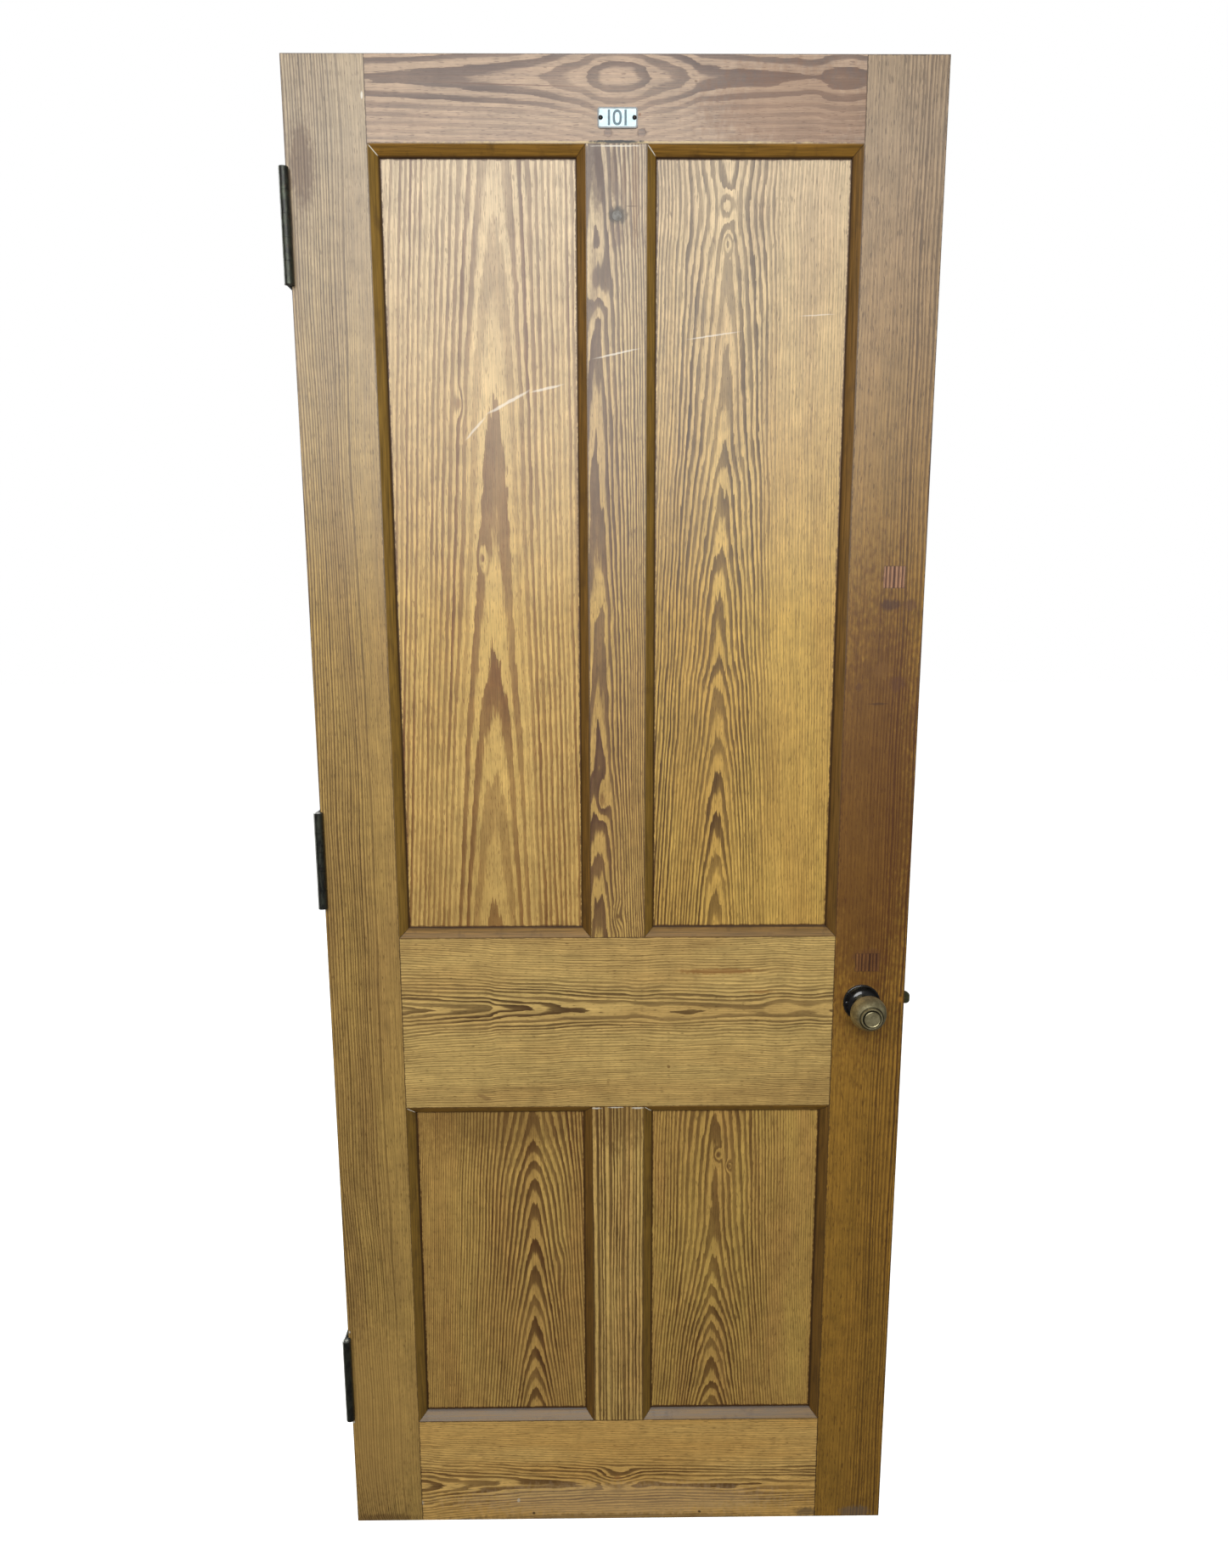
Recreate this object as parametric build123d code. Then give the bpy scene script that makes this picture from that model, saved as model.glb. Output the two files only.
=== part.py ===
from build123d import *
import os
from math import radians, sin

# A pine four-panel interior door: the leaf with its mouldings, butt hinges, knobs and mortice latch.
# Sizes are in millimetres. X runs from the hinge edge to the lock edge, Y from the face where the hinge
# knuckles show to the other face, and Z up. The origin is the middle of the leaf's bottom edge.

# The leaf
leaf_width = 762.0
leaf_height = 1936.0
leaf_thickness = 38.0
stile_width = 94.5
muntin_width = 70.0
top_rail_height = 93.0
lock_rail_height = 239.0
lock_rail_base = 649.5
bottom_rail_height = 164.0

# Panels, and the grooves in which they are free to shrink
panel_thickness = 12.7
groove_depth = 10.0
panel_play = 1.5

# Planted mouldings, mitred round every panel on both faces
moulding_width = 12.0
moulding_flat = 0.8
moulding_quirk = 2.5
moulding_bulge = 0.7

# Wedged through tenons
tenon_shoulder = 13.0
top_tenon_height = 46.0
bottom_tenon_height = 50.0
bottom_tenon_gap = 22.0
latch_web = 18.0
wedge_thickness = 5.0
wedge_length = 60.0
stub_depth = 25.0

# Butt hinges: middles of the lowest and the highest from the leaf's ends, knuckles and leaves
hinge_rise = 237.3
hinge_drop = 183.5
hinge_height = 127.0
knuckle_count = 5
knuckle_gap = 0.3
barrel_radius = 5.75
barrel_relief = 0.45
pin_radius = 3.0
pin_clearance = 0.06
pin_chamfer = 0.6
pin_proud = 5.0
hinge_plate = 2.6
hinge_leaf_gap = 2.4
hinge_leaf_inset = 32.0
hinge_corner = 3.0
near_screw_row = 15.0
far_screw_row = 28.0
outer_screw_spacing = 100.0
inner_screw_spacing = 38.0
empty_hole_radius = 2.6

# Screws: each one's head radius, head depth, shank radius and length
hinge_screw = (4.6, 2.2, 2.4, 28.0)
forend_screw = (3.6, 1.8, 1.8, 20.0)
screw_point = 6.0
screw_slot = 0.9

# Knobs, roses and their square spindle
backset = 57.0
latch_rise = 147.5
knob_radius = 23.5
knob_neck_radius = 9.5
knob_start = 3.5
knob_neck_end = 15.0
knob_edge_start = 36.0
knob_edge_end = 42.0
knob_edge_bulge = 0.6
knob_face = 60.4
knob_disc_radius = 10.7
knob_ring_radius = 15.0
knob_groove = 1.8
knob_slope = 0.8
knob_bead = 1.2
knob_disc_sink = 0.5
rose_radius = 24.5
rose_edge = 2.2
rose_roll = 2.2
rose_roll_rise = 0.9
rose_dish_rise = 0.6
rose_height = 5.5
rose_lip = 2.0
rose_clearance = 0.4
rose_screw_circle = 20.0
rose_screw = (2.6, 1.8, 1.5, 14.0)
spindle_width = 8.0
spindle_reach = 30.0
spindle_hole_radius = 10.5
grub_screw_radius = 2.0

# Mortice latch: case, follower, bolt and spring
latch_projection = 11.5
latch_height = 15.5
latch_thickness = 10.4
latch_corner = 5.0
latch_bevel = 0.75
latch_inside = 6.0
case_thickness = 14.0
case_wall = 1.5
forend_width = 22.0
forend_thickness = 3.0
forend_screw_gap = 3.0
forend_end = 5.5
slide_clearance = 0.3
knob_turn = 60.0
horn_lever = 13.0
horn_tip = 2.2
horn_play = 1.3
follower_radius = 8.0
follower_clearance = 0.08
stirrup_thickness = 3.0
stirrup_bar = 3.0
stirrup_neck = 2.5
bridge_thickness = 2.0
spring_radius = 4.2
spring_wire = 0.45
spring_wire_sides = 6
spring_turns = 5

# Number plate, filled holes, and patches in the lock stile above and below the lock rail's top
number_plate_size = (46.0, 22.3, 1.2)
number_plate_corner = 3.0
number_plate_centre = (1.5, 66.5)
number_plate_screw_spacing = 38.8
number_plate_screw = (2.6, 1.3, 1.4, 12.0)
upper_patch_size = (26.8, 27.2)
upper_patch_inset = 38.1
upper_patch_rise = 463.8
lower_patch_size = (32.6, 25.0)
lower_patch_inset = 51.3
lower_patch_drop = 36.4
patch_depth = 8.0
plug_radius = 4.0
plug_rise = 11.0
plug_places = (-9.5, 29.4)
muntin_plug_radius = 5.5
muntin_plug_place = (0.6, 77.0)
plug_depth = 9.0

# Places worked out from the sizes above
half_width = leaf_width / 2
half_thickness = leaf_thickness / 2
half_panel = panel_thickness / 2
stile_edge = half_width - stile_width
muntin_edge = muntin_width / 2
lock_rail_top = lock_rail_base + lock_rail_height
top_rail_base = leaf_height - top_rail_height
latch_z = lock_rail_base + latch_rise
knob_x = half_width - backset
hinge_top = leaf_height - hinge_drop
hinge_centres = {"bottom": hinge_rise, "middle": (hinge_rise + hinge_top) / 2, "top": hinge_top}
pin_x = -half_width - hinge_leaf_gap / 2
pin_y = -half_thickness - pin_proud
latch_travel = horn_lever * sin(radians(knob_turn))
stirrup_half = horn_lever + horn_tip + slide_clearance + stirrup_bar
case_half = stirrup_half + slide_clearance + case_wall
case_front = half_width - forend_thickness
stirrup_back = knob_x - follower_radius - 2 * slide_clearance
case_back = stirrup_back - stirrup_bar - latch_travel - 2 * slide_clearance - case_wall
forend_screw_rise = case_half + forend_screw_gap
bolt_back = case_front - latch_inside
stirrup_front = knob_x + 2 * latch_travel + horn_tip + 2 * slide_clearance
bridge_back = stirrup_front + stirrup_bar + 2 * slide_clearance
spring_start = bridge_back + bridge_thickness


def block(x, y, z):
    """A box between the two values of each of x, y and z."""
    sizes = [abs(b - a) for a, b in (x, y, z)]
    middle = [(a + b) / 2 for a, b in (x, y, z)]
    return Pos(*middle) * Box(*sizes)


def plate(points, y):
    """The outline through points (x, z), as thick as the two values of y."""
    start, end = max(y), min(y)
    outline = make_face(Polyline(*points, close=True))
    return extrude(Plane((0, start, 0), x_dir=(1, 0, 0), z_dir=(0, -1, 0)) * outline, amount=start - end)


def rod(start, end, radius):
    """A round bar between two points."""
    line = Vector(end) - Vector(start)
    seat = Plane(start, z_dir=line.normalized())
    return seat * Cylinder(radius, line.length, align=(Align.CENTER, Align.CENTER, Align.MIN))


def wood_screw(head, direction, sizes, slotted=True):
    """A countersunk screw whose head lies in the surface at the point head."""
    head_radius, head_depth, shank_radius, length = sizes
    outline = Polyline(
        (0, 0),
        (head_radius, 0),
        (shank_radius, head_depth),
        (shank_radius, length - screw_point),
        (0, length),
        close=True,
    )
    screw = revolve(Plane.XZ * make_face(outline), Axis.Z)
    if slotted:
        screw -= Box(2 * head_radius, screw_slot, screw_slot * 2)
    return Plane(head, z_dir=direction) * screw


def round_screw(seat, direction, sizes):
    """A round-headed screw whose head stands on the surface at the point seat."""
    head_radius, head_height, shank_radius, length = sizes
    crown_radius = (head_radius**2 + head_height**2) / (2 * head_height)
    crown = RadiusArc((0, -head_height), (head_radius, 0), -crown_radius)
    shank = Polyline(
        (head_radius, 0),
        (shank_radius, 0),
        (shank_radius, length),
        (0, length),
        (0, -head_height),
    )
    return Plane(seat, z_dir=direction) * revolve(Plane.XZ * make_face([crown, shank]), Axis.Z)


def joined(pieces):
    """One group of separate solids."""
    return Compound(children=[solid for piece in pieces for solid in piece.solids()])


# Woodwork


def tenon_spans():
    """Lower and upper end of every tenon, rail by rail."""
    top = [(top_rail_base + tenon_shoulder, top_rail_base + tenon_shoulder + top_tenon_height)]
    web = case_half + latch_web
    lock = [
        (lock_rail_base + tenon_shoulder, latch_z - web),
        (latch_z + web, lock_rail_top - tenon_shoulder),
    ]
    upper_start = bottom_rail_height - tenon_shoulder - bottom_tenon_height
    lower_start = upper_start - bottom_tenon_gap - bottom_tenon_height
    bottom = [
        (lower_start, lower_start + bottom_tenon_height),
        (upper_start, upper_start + bottom_tenon_height),
    ]
    return {"top": top, "lock": lock, "bottom": bottom}


def mortise(side, low, high):
    """A hole through the stile, flared at its outer end for the two wedges."""
    flare = side * (half_width - wedge_length)
    outer = side * half_width
    outline = [
        (side * stile_edge, low),
        (flare, low),
        (outer, low - wedge_thickness),
        (outer, high + wedge_thickness),
        (flare, high),
        (side * stile_edge, high),
    ]
    return plate(outline, (-half_panel, half_panel))


def wedges(side, low, high):
    """The pair of wedges that spread one tenon in its mortise."""
    flare = side * (half_width - wedge_length)
    outer = side * half_width
    above = [(flare, high), (outer, high), (outer, high + wedge_thickness)]
    below = [(flare, low), (outer, low), (outer, low - wedge_thickness)]
    return [plate(outline, (-half_panel, half_panel)) for outline in (above, below)]


def stile(side):
    """A full-height upright with its panel groove and mortises; side is -1 at the hinges, 1 at the lock."""
    body = block((side * stile_edge, side * half_width), (-half_thickness, half_thickness), (0, leaf_height))
    groove_end = side * (stile_edge + groove_depth)
    body -= block((side * stile_edge, groove_end), (-half_panel, half_panel), (0, leaf_height))
    for spans in tenon_spans().values():
        for low, high in spans:
            body -= mortise(side, low, high)
    return body


def rail(base, top, spans, grooved_below, grooved_above):
    """A cross rail with through tenons, haunches that fill the stiles' grooves, and its own grooves."""
    across = (-stile_edge, stile_edge)
    thick = (-half_panel, half_panel)
    body = block(across, (-half_thickness, half_thickness), (base, top))
    haunch_low = base
    haunch_high = top
    if grooved_below:
        haunch_low = base + groove_depth
        body -= block(across, thick, (base, haunch_low))
        body -= stub_mortise(base, base + stub_depth)
    if grooved_above:
        haunch_high = top - groove_depth
        body -= block(across, thick, (haunch_high, top))
        body -= stub_mortise(top - stub_depth, top)
    reach = stile_edge + groove_depth
    for end in (-1, 1):
        body += block((end * stile_edge, end * reach), thick, (haunch_low, haunch_high))
        for low, high in spans:
            body += block((end * stile_edge, end * half_width), thick, (low, high))
    return body


def stub_mortise(low, high):
    """The socket for a muntin's stub tenon."""
    width = muntin_edge - groove_depth
    return block((-width, width), (-half_panel, half_panel), (low, high))


def muntin(low, high):
    """An upright between two rails, grooved on both sides, with a stub tenon at each end."""
    body = block((-muntin_edge, muntin_edge), (-half_thickness, half_thickness), (low, high))
    for side in (-1, 1):
        groove = (side * muntin_edge, side * (muntin_edge - groove_depth))
        body -= block(groove, (-half_panel, half_panel), (low, high))
    body += stub_mortise(low - stub_depth, low)
    body += stub_mortise(high, high + stub_depth)
    return body


def panel(x, z):
    """A flat panel that fills the opening x by z and enters the grooves round it."""
    grow = groove_depth - panel_play
    return block((x[0] - grow, x[1] + grow), (-half_panel, half_panel), (z[0] - grow, z[1] + grow))


def moulding_section():
    """The moulding's section: x is the distance from the frame's edge, y the height above the panel."""
    height = half_thickness - half_panel
    middle = (
        (moulding_flat + moulding_width + moulding_bulge) / 2,
        (height + moulding_quirk + moulding_bulge) / 2,
    )
    back = Polyline((moulding_width, moulding_quirk), (moulding_width, 0), (0, 0), (0, height))
    front = Polyline((0, height), (moulding_flat, height))
    splay = ThreePointArc((moulding_flat, height), middle, (moulding_width, moulding_quirk))
    return make_face([back, front, splay])


def moulding(x, z, face):
    """Four mitred strips round the opening x by z; face is -1 on the front, 1 on the back."""
    corners = [(x[0], z[0]), (x[1], z[0]), (x[1], z[1]), (x[0], z[1])]
    inner = [
        (x[0] + moulding_width, z[0] + moulding_width),
        (x[1] - moulding_width, z[0] + moulding_width),
        (x[1] - moulding_width, z[1] - moulding_width),
        (x[0] + moulding_width, z[1] - moulding_width),
    ]
    inward = [(0, 0, 1), (-1, 0, 0), (0, 0, -1), (1, 0, 0)]
    outward = Vector(0, face, 0)
    strips = []
    for i, direction in enumerate(inward):
        start, end = corners[i], corners[(i + 1) % 4]
        middle = ((start[0] + end[0]) / 2, face * half_panel, (start[1] + end[1]) / 2)
        length = abs(end[0] - start[0]) + abs(end[1] - start[1])
        seat = Plane(middle, x_dir=direction, z_dir=Vector(direction).cross(outward))
        strip = extrude(seat * moulding_section(), amount=length / 2, both=True)
        mitre = [start, end, inner[(i + 1) % 4], inner[i]]
        strips.append(strip & plate(mitre, (face * half_panel, face * half_thickness)))
    return joined(strips)


# Hinges


def knuckle_ends(centre, first):
    """Ends of every other knuckle of a hinge, starting with the knuckle numbered first."""
    step = hinge_height / knuckle_count
    base = centre - hinge_height / 2
    return [(base + i * step, base + (i + 1) * step) for i in range(first, knuckle_count, 2)]


def hinge_screw_points(centre):
    """Y and Z of the four staggered screws of a hinge leaf."""
    outer = [(pin_y + near_screw_row, centre + end * outer_screw_spacing / 2) for end in (-1, 1)]
    inner = [(pin_y + far_screw_row, centre + end * inner_screw_spacing / 2) for end in (-1, 1)]
    return outer + inner


def hinge_leaf(centre, side):
    """One half of a hinge; side is 1 for the leaf on the door, -1 for the leaf on the frame.

    The door's screws fill their holes. The frame leaf's holes are empty, a little wider than a screw.
    """
    near = pin_x + side * hinge_leaf_gap / 2
    far = near + side * hinge_plate
    low = centre - hinge_height / 2
    high = centre + hinge_height / 2
    back = hinge_leaf_inset - half_thickness
    body = block((near, far), (pin_y, back), (low, high))
    back_edges = body.edges().filter_by(Axis.X).group_by(Axis.Y)[-1]
    body = fillet(back_edges, hinge_corner)
    own_first, other_first = (1, 0) if side > 0 else (0, 1)
    for start, end in knuckle_ends(centre, other_first):
        cut_ends = (start - knuckle_gap / 2, end + knuckle_gap / 2)
        body -= barrel(cut_ends, barrel_radius + barrel_relief)
    for start, end in knuckle_ends(centre, own_first):
        body += barrel((start + knuckle_gap / 2, end - knuckle_gap / 2), barrel_radius)
    pin_hole = pin_radius + pin_clearance if side > 0 else pin_radius
    body -= barrel((low - knuckle_gap, high + knuckle_gap), pin_hole)
    head_radius, head_depth, shank_radius, length = hinge_screw
    hole_radius = shank_radius if side > 0 else empty_hole_radius
    hole = (head_radius, head_depth, hole_radius, length)
    for y, z in hinge_screw_points(centre):
        body -= wood_screw((near, y, z), (side, 0, 0), hole, slotted=False)
    return body


def barrel(ends, radius):
    """A round bar on a hinge's axis."""
    return rod((pin_x, pin_y, ends[0]), (pin_x, pin_y, ends[1]), radius)


def hinge_pin(centre):
    """The pin, held in the frame leaf's knuckles and free in the door leaf's."""
    pin = barrel((centre - hinge_height / 2, centre + hinge_height / 2), pin_radius)
    return chamfer(pin.edges().filter_by(GeomType.CIRCLE), pin_chamfer)


def hinge_screws(centre):
    """The four screws that hold the door leaf to the stile."""
    head_x = pin_x + hinge_leaf_gap / 2
    points = hinge_screw_points(centre)
    return [wood_screw((head_x, y, z), (1, 0, 0), hinge_screw) for y, z in points]


def hinge_pilot_holes(centre):
    """The bores in the stile for the four screws."""
    start = pin_x + hinge_leaf_gap / 2
    end = start + hinge_screw[3]
    points = hinge_screw_points(centre)
    return [rod((start, y, z), (end, y, z), hinge_screw[2]) for y, z in points]


def hinge_gain(centre):
    """What a hinge takes out of the wood: the leaf's housing, the barrel's relief and the screw holes."""
    ends = (centre - hinge_height / 2, centre + hinge_height / 2)
    back = hinge_leaf_inset - half_thickness
    housing = block((-half_width, -half_width + hinge_plate), (-half_thickness, back), ends)
    back_edges = housing.edges().filter_by(Axis.X).group_by(Axis.Y)[-1]
    housing = fillet(back_edges, hinge_corner)
    relief = barrel((ends[0] - knuckle_gap, ends[1] + knuckle_gap), barrel_radius + barrel_relief)
    return [housing, relief] + hinge_pilot_holes(centre)


# Knobs and roses


def knob_plane(face):
    """A plane on the leaf's face at the spindle: x is the radius, y the distance outwards."""
    outward = Vector(0, face, 0)
    seat = (knob_x, face * half_thickness, latch_z)
    return Plane(seat, x_dir=(1, 0, 0), z_dir=Vector(1, 0, 0).cross(outward))


def turned(outline, face):
    """The outline turned about the spindle's axis."""
    return revolve(knob_plane(face) * make_face(outline), Axis((knob_x, 0, latch_z), (0, 1, 0)))


def knob(face):
    """A turned knob: neck, flared back, rounded edge, and a face with two grooves round a flat disc."""
    edge_middle = (knob_edge_start + knob_edge_end) / 2
    edge_radius = knob_radius - knob_edge_bulge
    rim = knob_face - knob_groove
    dome_end = rim - knob_groove
    back = Polyline(
        (0, dome_end),
        (0, knob_start),
        (knob_neck_radius, knob_start),
        (knob_neck_radius, knob_neck_end),
    )
    flare = Spline(
        (knob_neck_radius, knob_neck_end),
        (edge_radius, knob_edge_start),
        tangents=[(0.15, 1), (0.6, 1)],
    )
    edge = ThreePointArc(
        (edge_radius, knob_edge_start),
        (knob_radius, edge_middle),
        (edge_radius, knob_edge_end),
    )
    dome = Spline(
        (edge_radius, knob_edge_end),
        (knob_ring_radius, dome_end),
        tangents=[(-0.25, 1), (-1, 0.9)],
    )
    slope = knob_slope
    disc = knob_disc_radius
    bead = knob_ring_radius - 2 * slope
    rings = Polyline(
        (knob_ring_radius, dome_end),
        (bead + slope, dome_end - slope / 2),
        (bead, rim),
        (bead - knob_bead, rim),
        (bead - knob_bead - slope, dome_end + slope / 2),
        (disc + slope / 2, dome_end + slope / 2),
        (disc, knob_face - slope / 2),
        (disc - slope, knob_face),
        (disc - 2 * slope, knob_face - knob_disc_sink),
        (0, knob_face - knob_disc_sink),
        (0, dome_end),
    )
    body = turned([back, flare, edge, dome, rings], face)
    body -= spindle()
    return body - grub_screw(face)


def spindle():
    """The square bar that both knobs and the follower ride on."""
    reach = half_thickness + spindle_reach
    half = spindle_width / 2
    return block((knob_x - half, knob_x + half), (-reach, reach), (latch_z - half, latch_z + half))


def grub_screw(face):
    """The small screw that fixes a knob's neck to the spindle, from below."""
    y = face * (half_thickness + (rose_height + knob_neck_end) / 2)
    outer = latch_z - knob_neck_radius
    inner = latch_z - spindle_width / 2
    return rod((knob_x, y, outer), (knob_x, y, inner), grub_screw_radius)


def rose(face):
    """The dished disc under a knob, with a rolled edge and a raised middle."""
    hole = knob_neck_radius + rose_clearance
    lip_edge = hole + rose_lip
    roll_end = rose_radius - rose_roll
    roll_top = rose_edge + rose_roll_rise
    foot = Polyline((hole, rose_height), (hole, 0), (rose_radius, 0), (rose_radius, rose_edge))
    roll = ThreePointArc(
        (rose_radius, rose_edge),
        (rose_radius - rose_roll / 3, roll_top),
        (roll_end, roll_top),
    )
    dish = ThreePointArc(
        (roll_end, roll_top),
        ((roll_end + lip_edge) / 2, rose_edge + rose_dish_rise),
        (lip_edge, rose_height),
    )
    lip = Polyline((lip_edge, rose_height), (hole, rose_height))
    body = turned([foot, roll, dish, lip], face)
    for screw in rose_screws(face):
        body -= screw
    return body


def rose_screws(face):
    """Two round-headed screws, left and right of the knob."""
    y = face * (half_thickness + rose_edge)
    places = [knob_x + side * rose_screw_circle for side in (-1, 1)]
    return [round_screw((x, y, latch_z), (0, -face, 0), rose_screw) for x in places]


# Latch


def latch_bolt():
    """The rounded, bevelled nose, its neck, and the flat stirrup that the follower's horns pull."""
    tip = half_width + latch_projection
    half_height = latch_height / 2
    half_bolt = latch_thickness / 2
    nose = block((bolt_back, tip), (-half_bolt, half_bolt), (latch_z - half_height, latch_z + half_height))
    corners = nose.edges().filter_by(Axis.Y).group_by(Axis.X)[-1]
    nose = fillet(corners, latch_corner)
    bevel = Polyline(
        (tip, half_bolt),
        (half_width, half_bolt),
        (tip, half_bolt - latch_thickness * latch_bevel),
        close=True,
    )
    bottom = latch_z - half_height
    nose -= extrude(Plane((0, 0, bottom)) * make_face(bevel), amount=latch_height)
    neck_ends = (stirrup_front, 0, latch_z), (bolt_back, 0, latch_z)
    return nose + rod(*neck_ends, stirrup_neck) + stirrup()


def stirrup():
    """A flat frame round the follower, with shoulders close behind its two horns."""
    ends = (stirrup_back - stirrup_bar, stirrup_front + stirrup_bar)
    shoulder = knob_x - horn_tip - horn_play
    y = (-stirrup_thickness / 2, stirrup_thickness / 2)
    window = stirrup_half - stirrup_bar
    throat = follower_radius + 2 * slide_clearance
    frame = block(ends, y, (latch_z - stirrup_half, latch_z + stirrup_half))
    frame -= block((shoulder, stirrup_front), y, (latch_z - window, latch_z + window))
    frame -= block((stirrup_back, shoulder), y, (latch_z - throat, latch_z + throat))
    return frame


def follower():
    """The hub that the spindle turns, with a horn above and below."""
    half = case_thickness / 2
    hub = rod((knob_x, -half, latch_z), (knob_x, half, latch_z), follower_radius)
    horn_half = stirrup_thickness / 2
    for side in (-1, 1):
        tip_z = latch_z + side * horn_lever
        hub += rod((knob_x, -horn_half, tip_z), (knob_x, horn_half, tip_z), horn_tip)
        hub += block((knob_x - horn_tip, knob_x + horn_tip), (-horn_half, horn_half), (latch_z, tip_z))
    return hub - spindle()


def case_body():
    """The open case: one cheek, four edges, and the bridge that the spring bears on."""
    half = case_thickness / 2
    z = (latch_z - case_half, latch_z + case_half)
    inside_z = (z[0] + case_wall, z[1] - case_wall)
    body = block((case_back, case_front), (-half, half), z)
    body -= block((case_back + case_wall, case_front - case_wall), (-half + case_wall, half), inside_z)
    bridge = block((bridge_back, spring_start), (-half + case_wall, half - case_wall), inside_z)
    neck = rod((bridge_back, 0, latch_z), (spring_start, 0, latch_z), stirrup_neck + slide_clearance)
    body += bridge - neck
    body -= bolt_opening(case_front - case_wall, case_front)
    return body - follower_hole()


def case_cover():
    """The cheek that closes the case."""
    half = case_thickness / 2
    inside = (case_back + case_wall, case_front - case_wall)
    z = (latch_z - case_half + case_wall, latch_z + case_half - case_wall)
    return block(inside, (half - case_wall, half), z) - follower_hole()


def follower_hole():
    """The round holes in both cheeks in which the follower turns."""
    half = case_thickness / 2
    return rod((knob_x, -half, latch_z), (knob_x, half, latch_z), follower_radius + follower_clearance)


def bolt_opening(back, front):
    """The hole that the bolt slides in, through the case's edge or the forend."""
    half_y = latch_thickness / 2 + slide_clearance
    half_z = latch_height / 2 + slide_clearance
    return block((back, front), (-half_y, half_y), (latch_z - half_z, latch_z + half_z))


def forend():
    """The plate let flush into the leaf's edge, with the bolt's opening and two screw holes."""
    body = forend_block() - bolt_opening(case_front, half_width)
    for screw in forend_screws(slotted=False):
        body -= screw
    return body


def forend_block():
    """The forend's outline, which is also its housing in the stile."""
    half_y = forend_width / 2
    half_z = forend_screw_rise + forend_end
    return block((case_front, half_width), (-half_y, half_y), (latch_z - half_z, latch_z + half_z))


def forend_screws(slotted=True):
    """The forend's two screws, above and below the bolt."""
    heights = [latch_z + side * forend_screw_rise for side in (-1, 1)]
    return [wood_screw((half_width, 0, z), (-1, 0, 0), forend_screw, slotted) for z in heights]


def latch_spring():
    """The coil spring round the bolt's neck, between the bridge and the nose."""
    length = bolt_back - spring_start - 2 * spring_wire
    path = Helix(length / spring_turns, length, spring_radius)
    section = Plane(path @ 0, z_dir=path % 0) * RegularPolygon(spring_wire, spring_wire_sides)
    coil = sweep(section, path)
    return Plane((spring_start + spring_wire, 0, latch_z), z_dir=(1, 0, 0)) * coil


def latch_mortise():
    """What the latch takes out of the lock stile."""
    half = case_thickness / 2
    pocket = block((case_back, case_front), (-half, half), (latch_z - case_half, latch_z + case_half))
    through = rod(
        (knob_x, -half_thickness, latch_z),
        (knob_x, half_thickness, latch_z),
        spindle_hole_radius,
    )
    return [pocket, forend_block(), through] + forend_screws(slotted=False)


# Number plate, patches and plugs


def number_plate():
    """The small enamelled plate on the top rail; its corners are rounded."""
    width, height, thickness = number_plate_size
    x, drop = number_plate_centre
    outline = RectangleRounded(width, height, number_plate_corner)
    seat = Plane((x, -half_thickness, leaf_height - drop), x_dir=(1, 0, 0), z_dir=(0, -1, 0))
    body = extrude(seat * outline, amount=thickness)
    for screw in number_plate_screws():
        body -= screw
    return body


def number_plate_screws():
    """Two round-headed screws at the plate's ends."""
    x, drop = number_plate_centre
    y = -half_thickness - number_plate_size[2]
    places = [x + side * number_plate_screw_spacing / 2 for side in (-1, 1)]
    return [round_screw((place, y, leaf_height - drop), (0, 1, 0), number_plate_screw) for place in places]


def patch(size, inset, z):
    """A square piece of pine let into the front of the lock stile, its middle at inset from the edge."""
    x = half_width - inset
    width, height = size
    return block(
        (x - width / 2, x + width / 2),
        (-half_thickness, -half_thickness + patch_depth),
        (z - height / 2, z + height / 2),
    )


def plug(x, z, radius):
    """A round plug let into the front face."""
    return rod((x, -half_thickness, z), (x, -half_thickness + plug_depth, z), radius)


def rail_plugs():
    """The two plugged holes near the top rail's lower edge."""
    return [plug(x, top_rail_base + plug_rise, plug_radius) for x in plug_places]


def muntin_plug():
    """The single grey plug near the top of the upper muntin."""
    x, drop = muntin_plug_place
    return plug(x, top_rail_base - drop, muntin_plug_radius)


# Build every node

openings = {
    "upper_left": ((-stile_edge, -muntin_edge), (lock_rail_top, top_rail_base)),
    "upper_right": ((muntin_edge, stile_edge), (lock_rail_top, top_rail_base)),
    "lower_left": ((-stile_edge, -muntin_edge), (bottom_rail_height, lock_rail_base)),
    "lower_right": ((muntin_edge, stile_edge), (bottom_rail_height, lock_rail_base)),
}
spans = tenon_spans()
all_spans = [span for rail_spans in spans.values() for span in rail_spans]

hinge_cuts = [cut for centre in hinge_centres.values() for cut in hinge_gain(centre)]

upper_patch = patch(upper_patch_size, upper_patch_inset, lock_rail_top + upper_patch_rise)
lower_patch = patch(lower_patch_size, lower_patch_inset, lock_rail_top - lower_patch_drop)
all_rose_screws = rose_screws(-1) + rose_screws(1)
lock_cuts = latch_mortise() + all_rose_screws + [upper_patch, lower_patch]

top_rail = rail(top_rail_base, leaf_height, spans["top"], True, False)
lock_rail = rail(lock_rail_base, lock_rail_top, spans["lock"], True, True)
bottom_rail = rail(0, bottom_rail_height, spans["bottom"], False, True)

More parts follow.
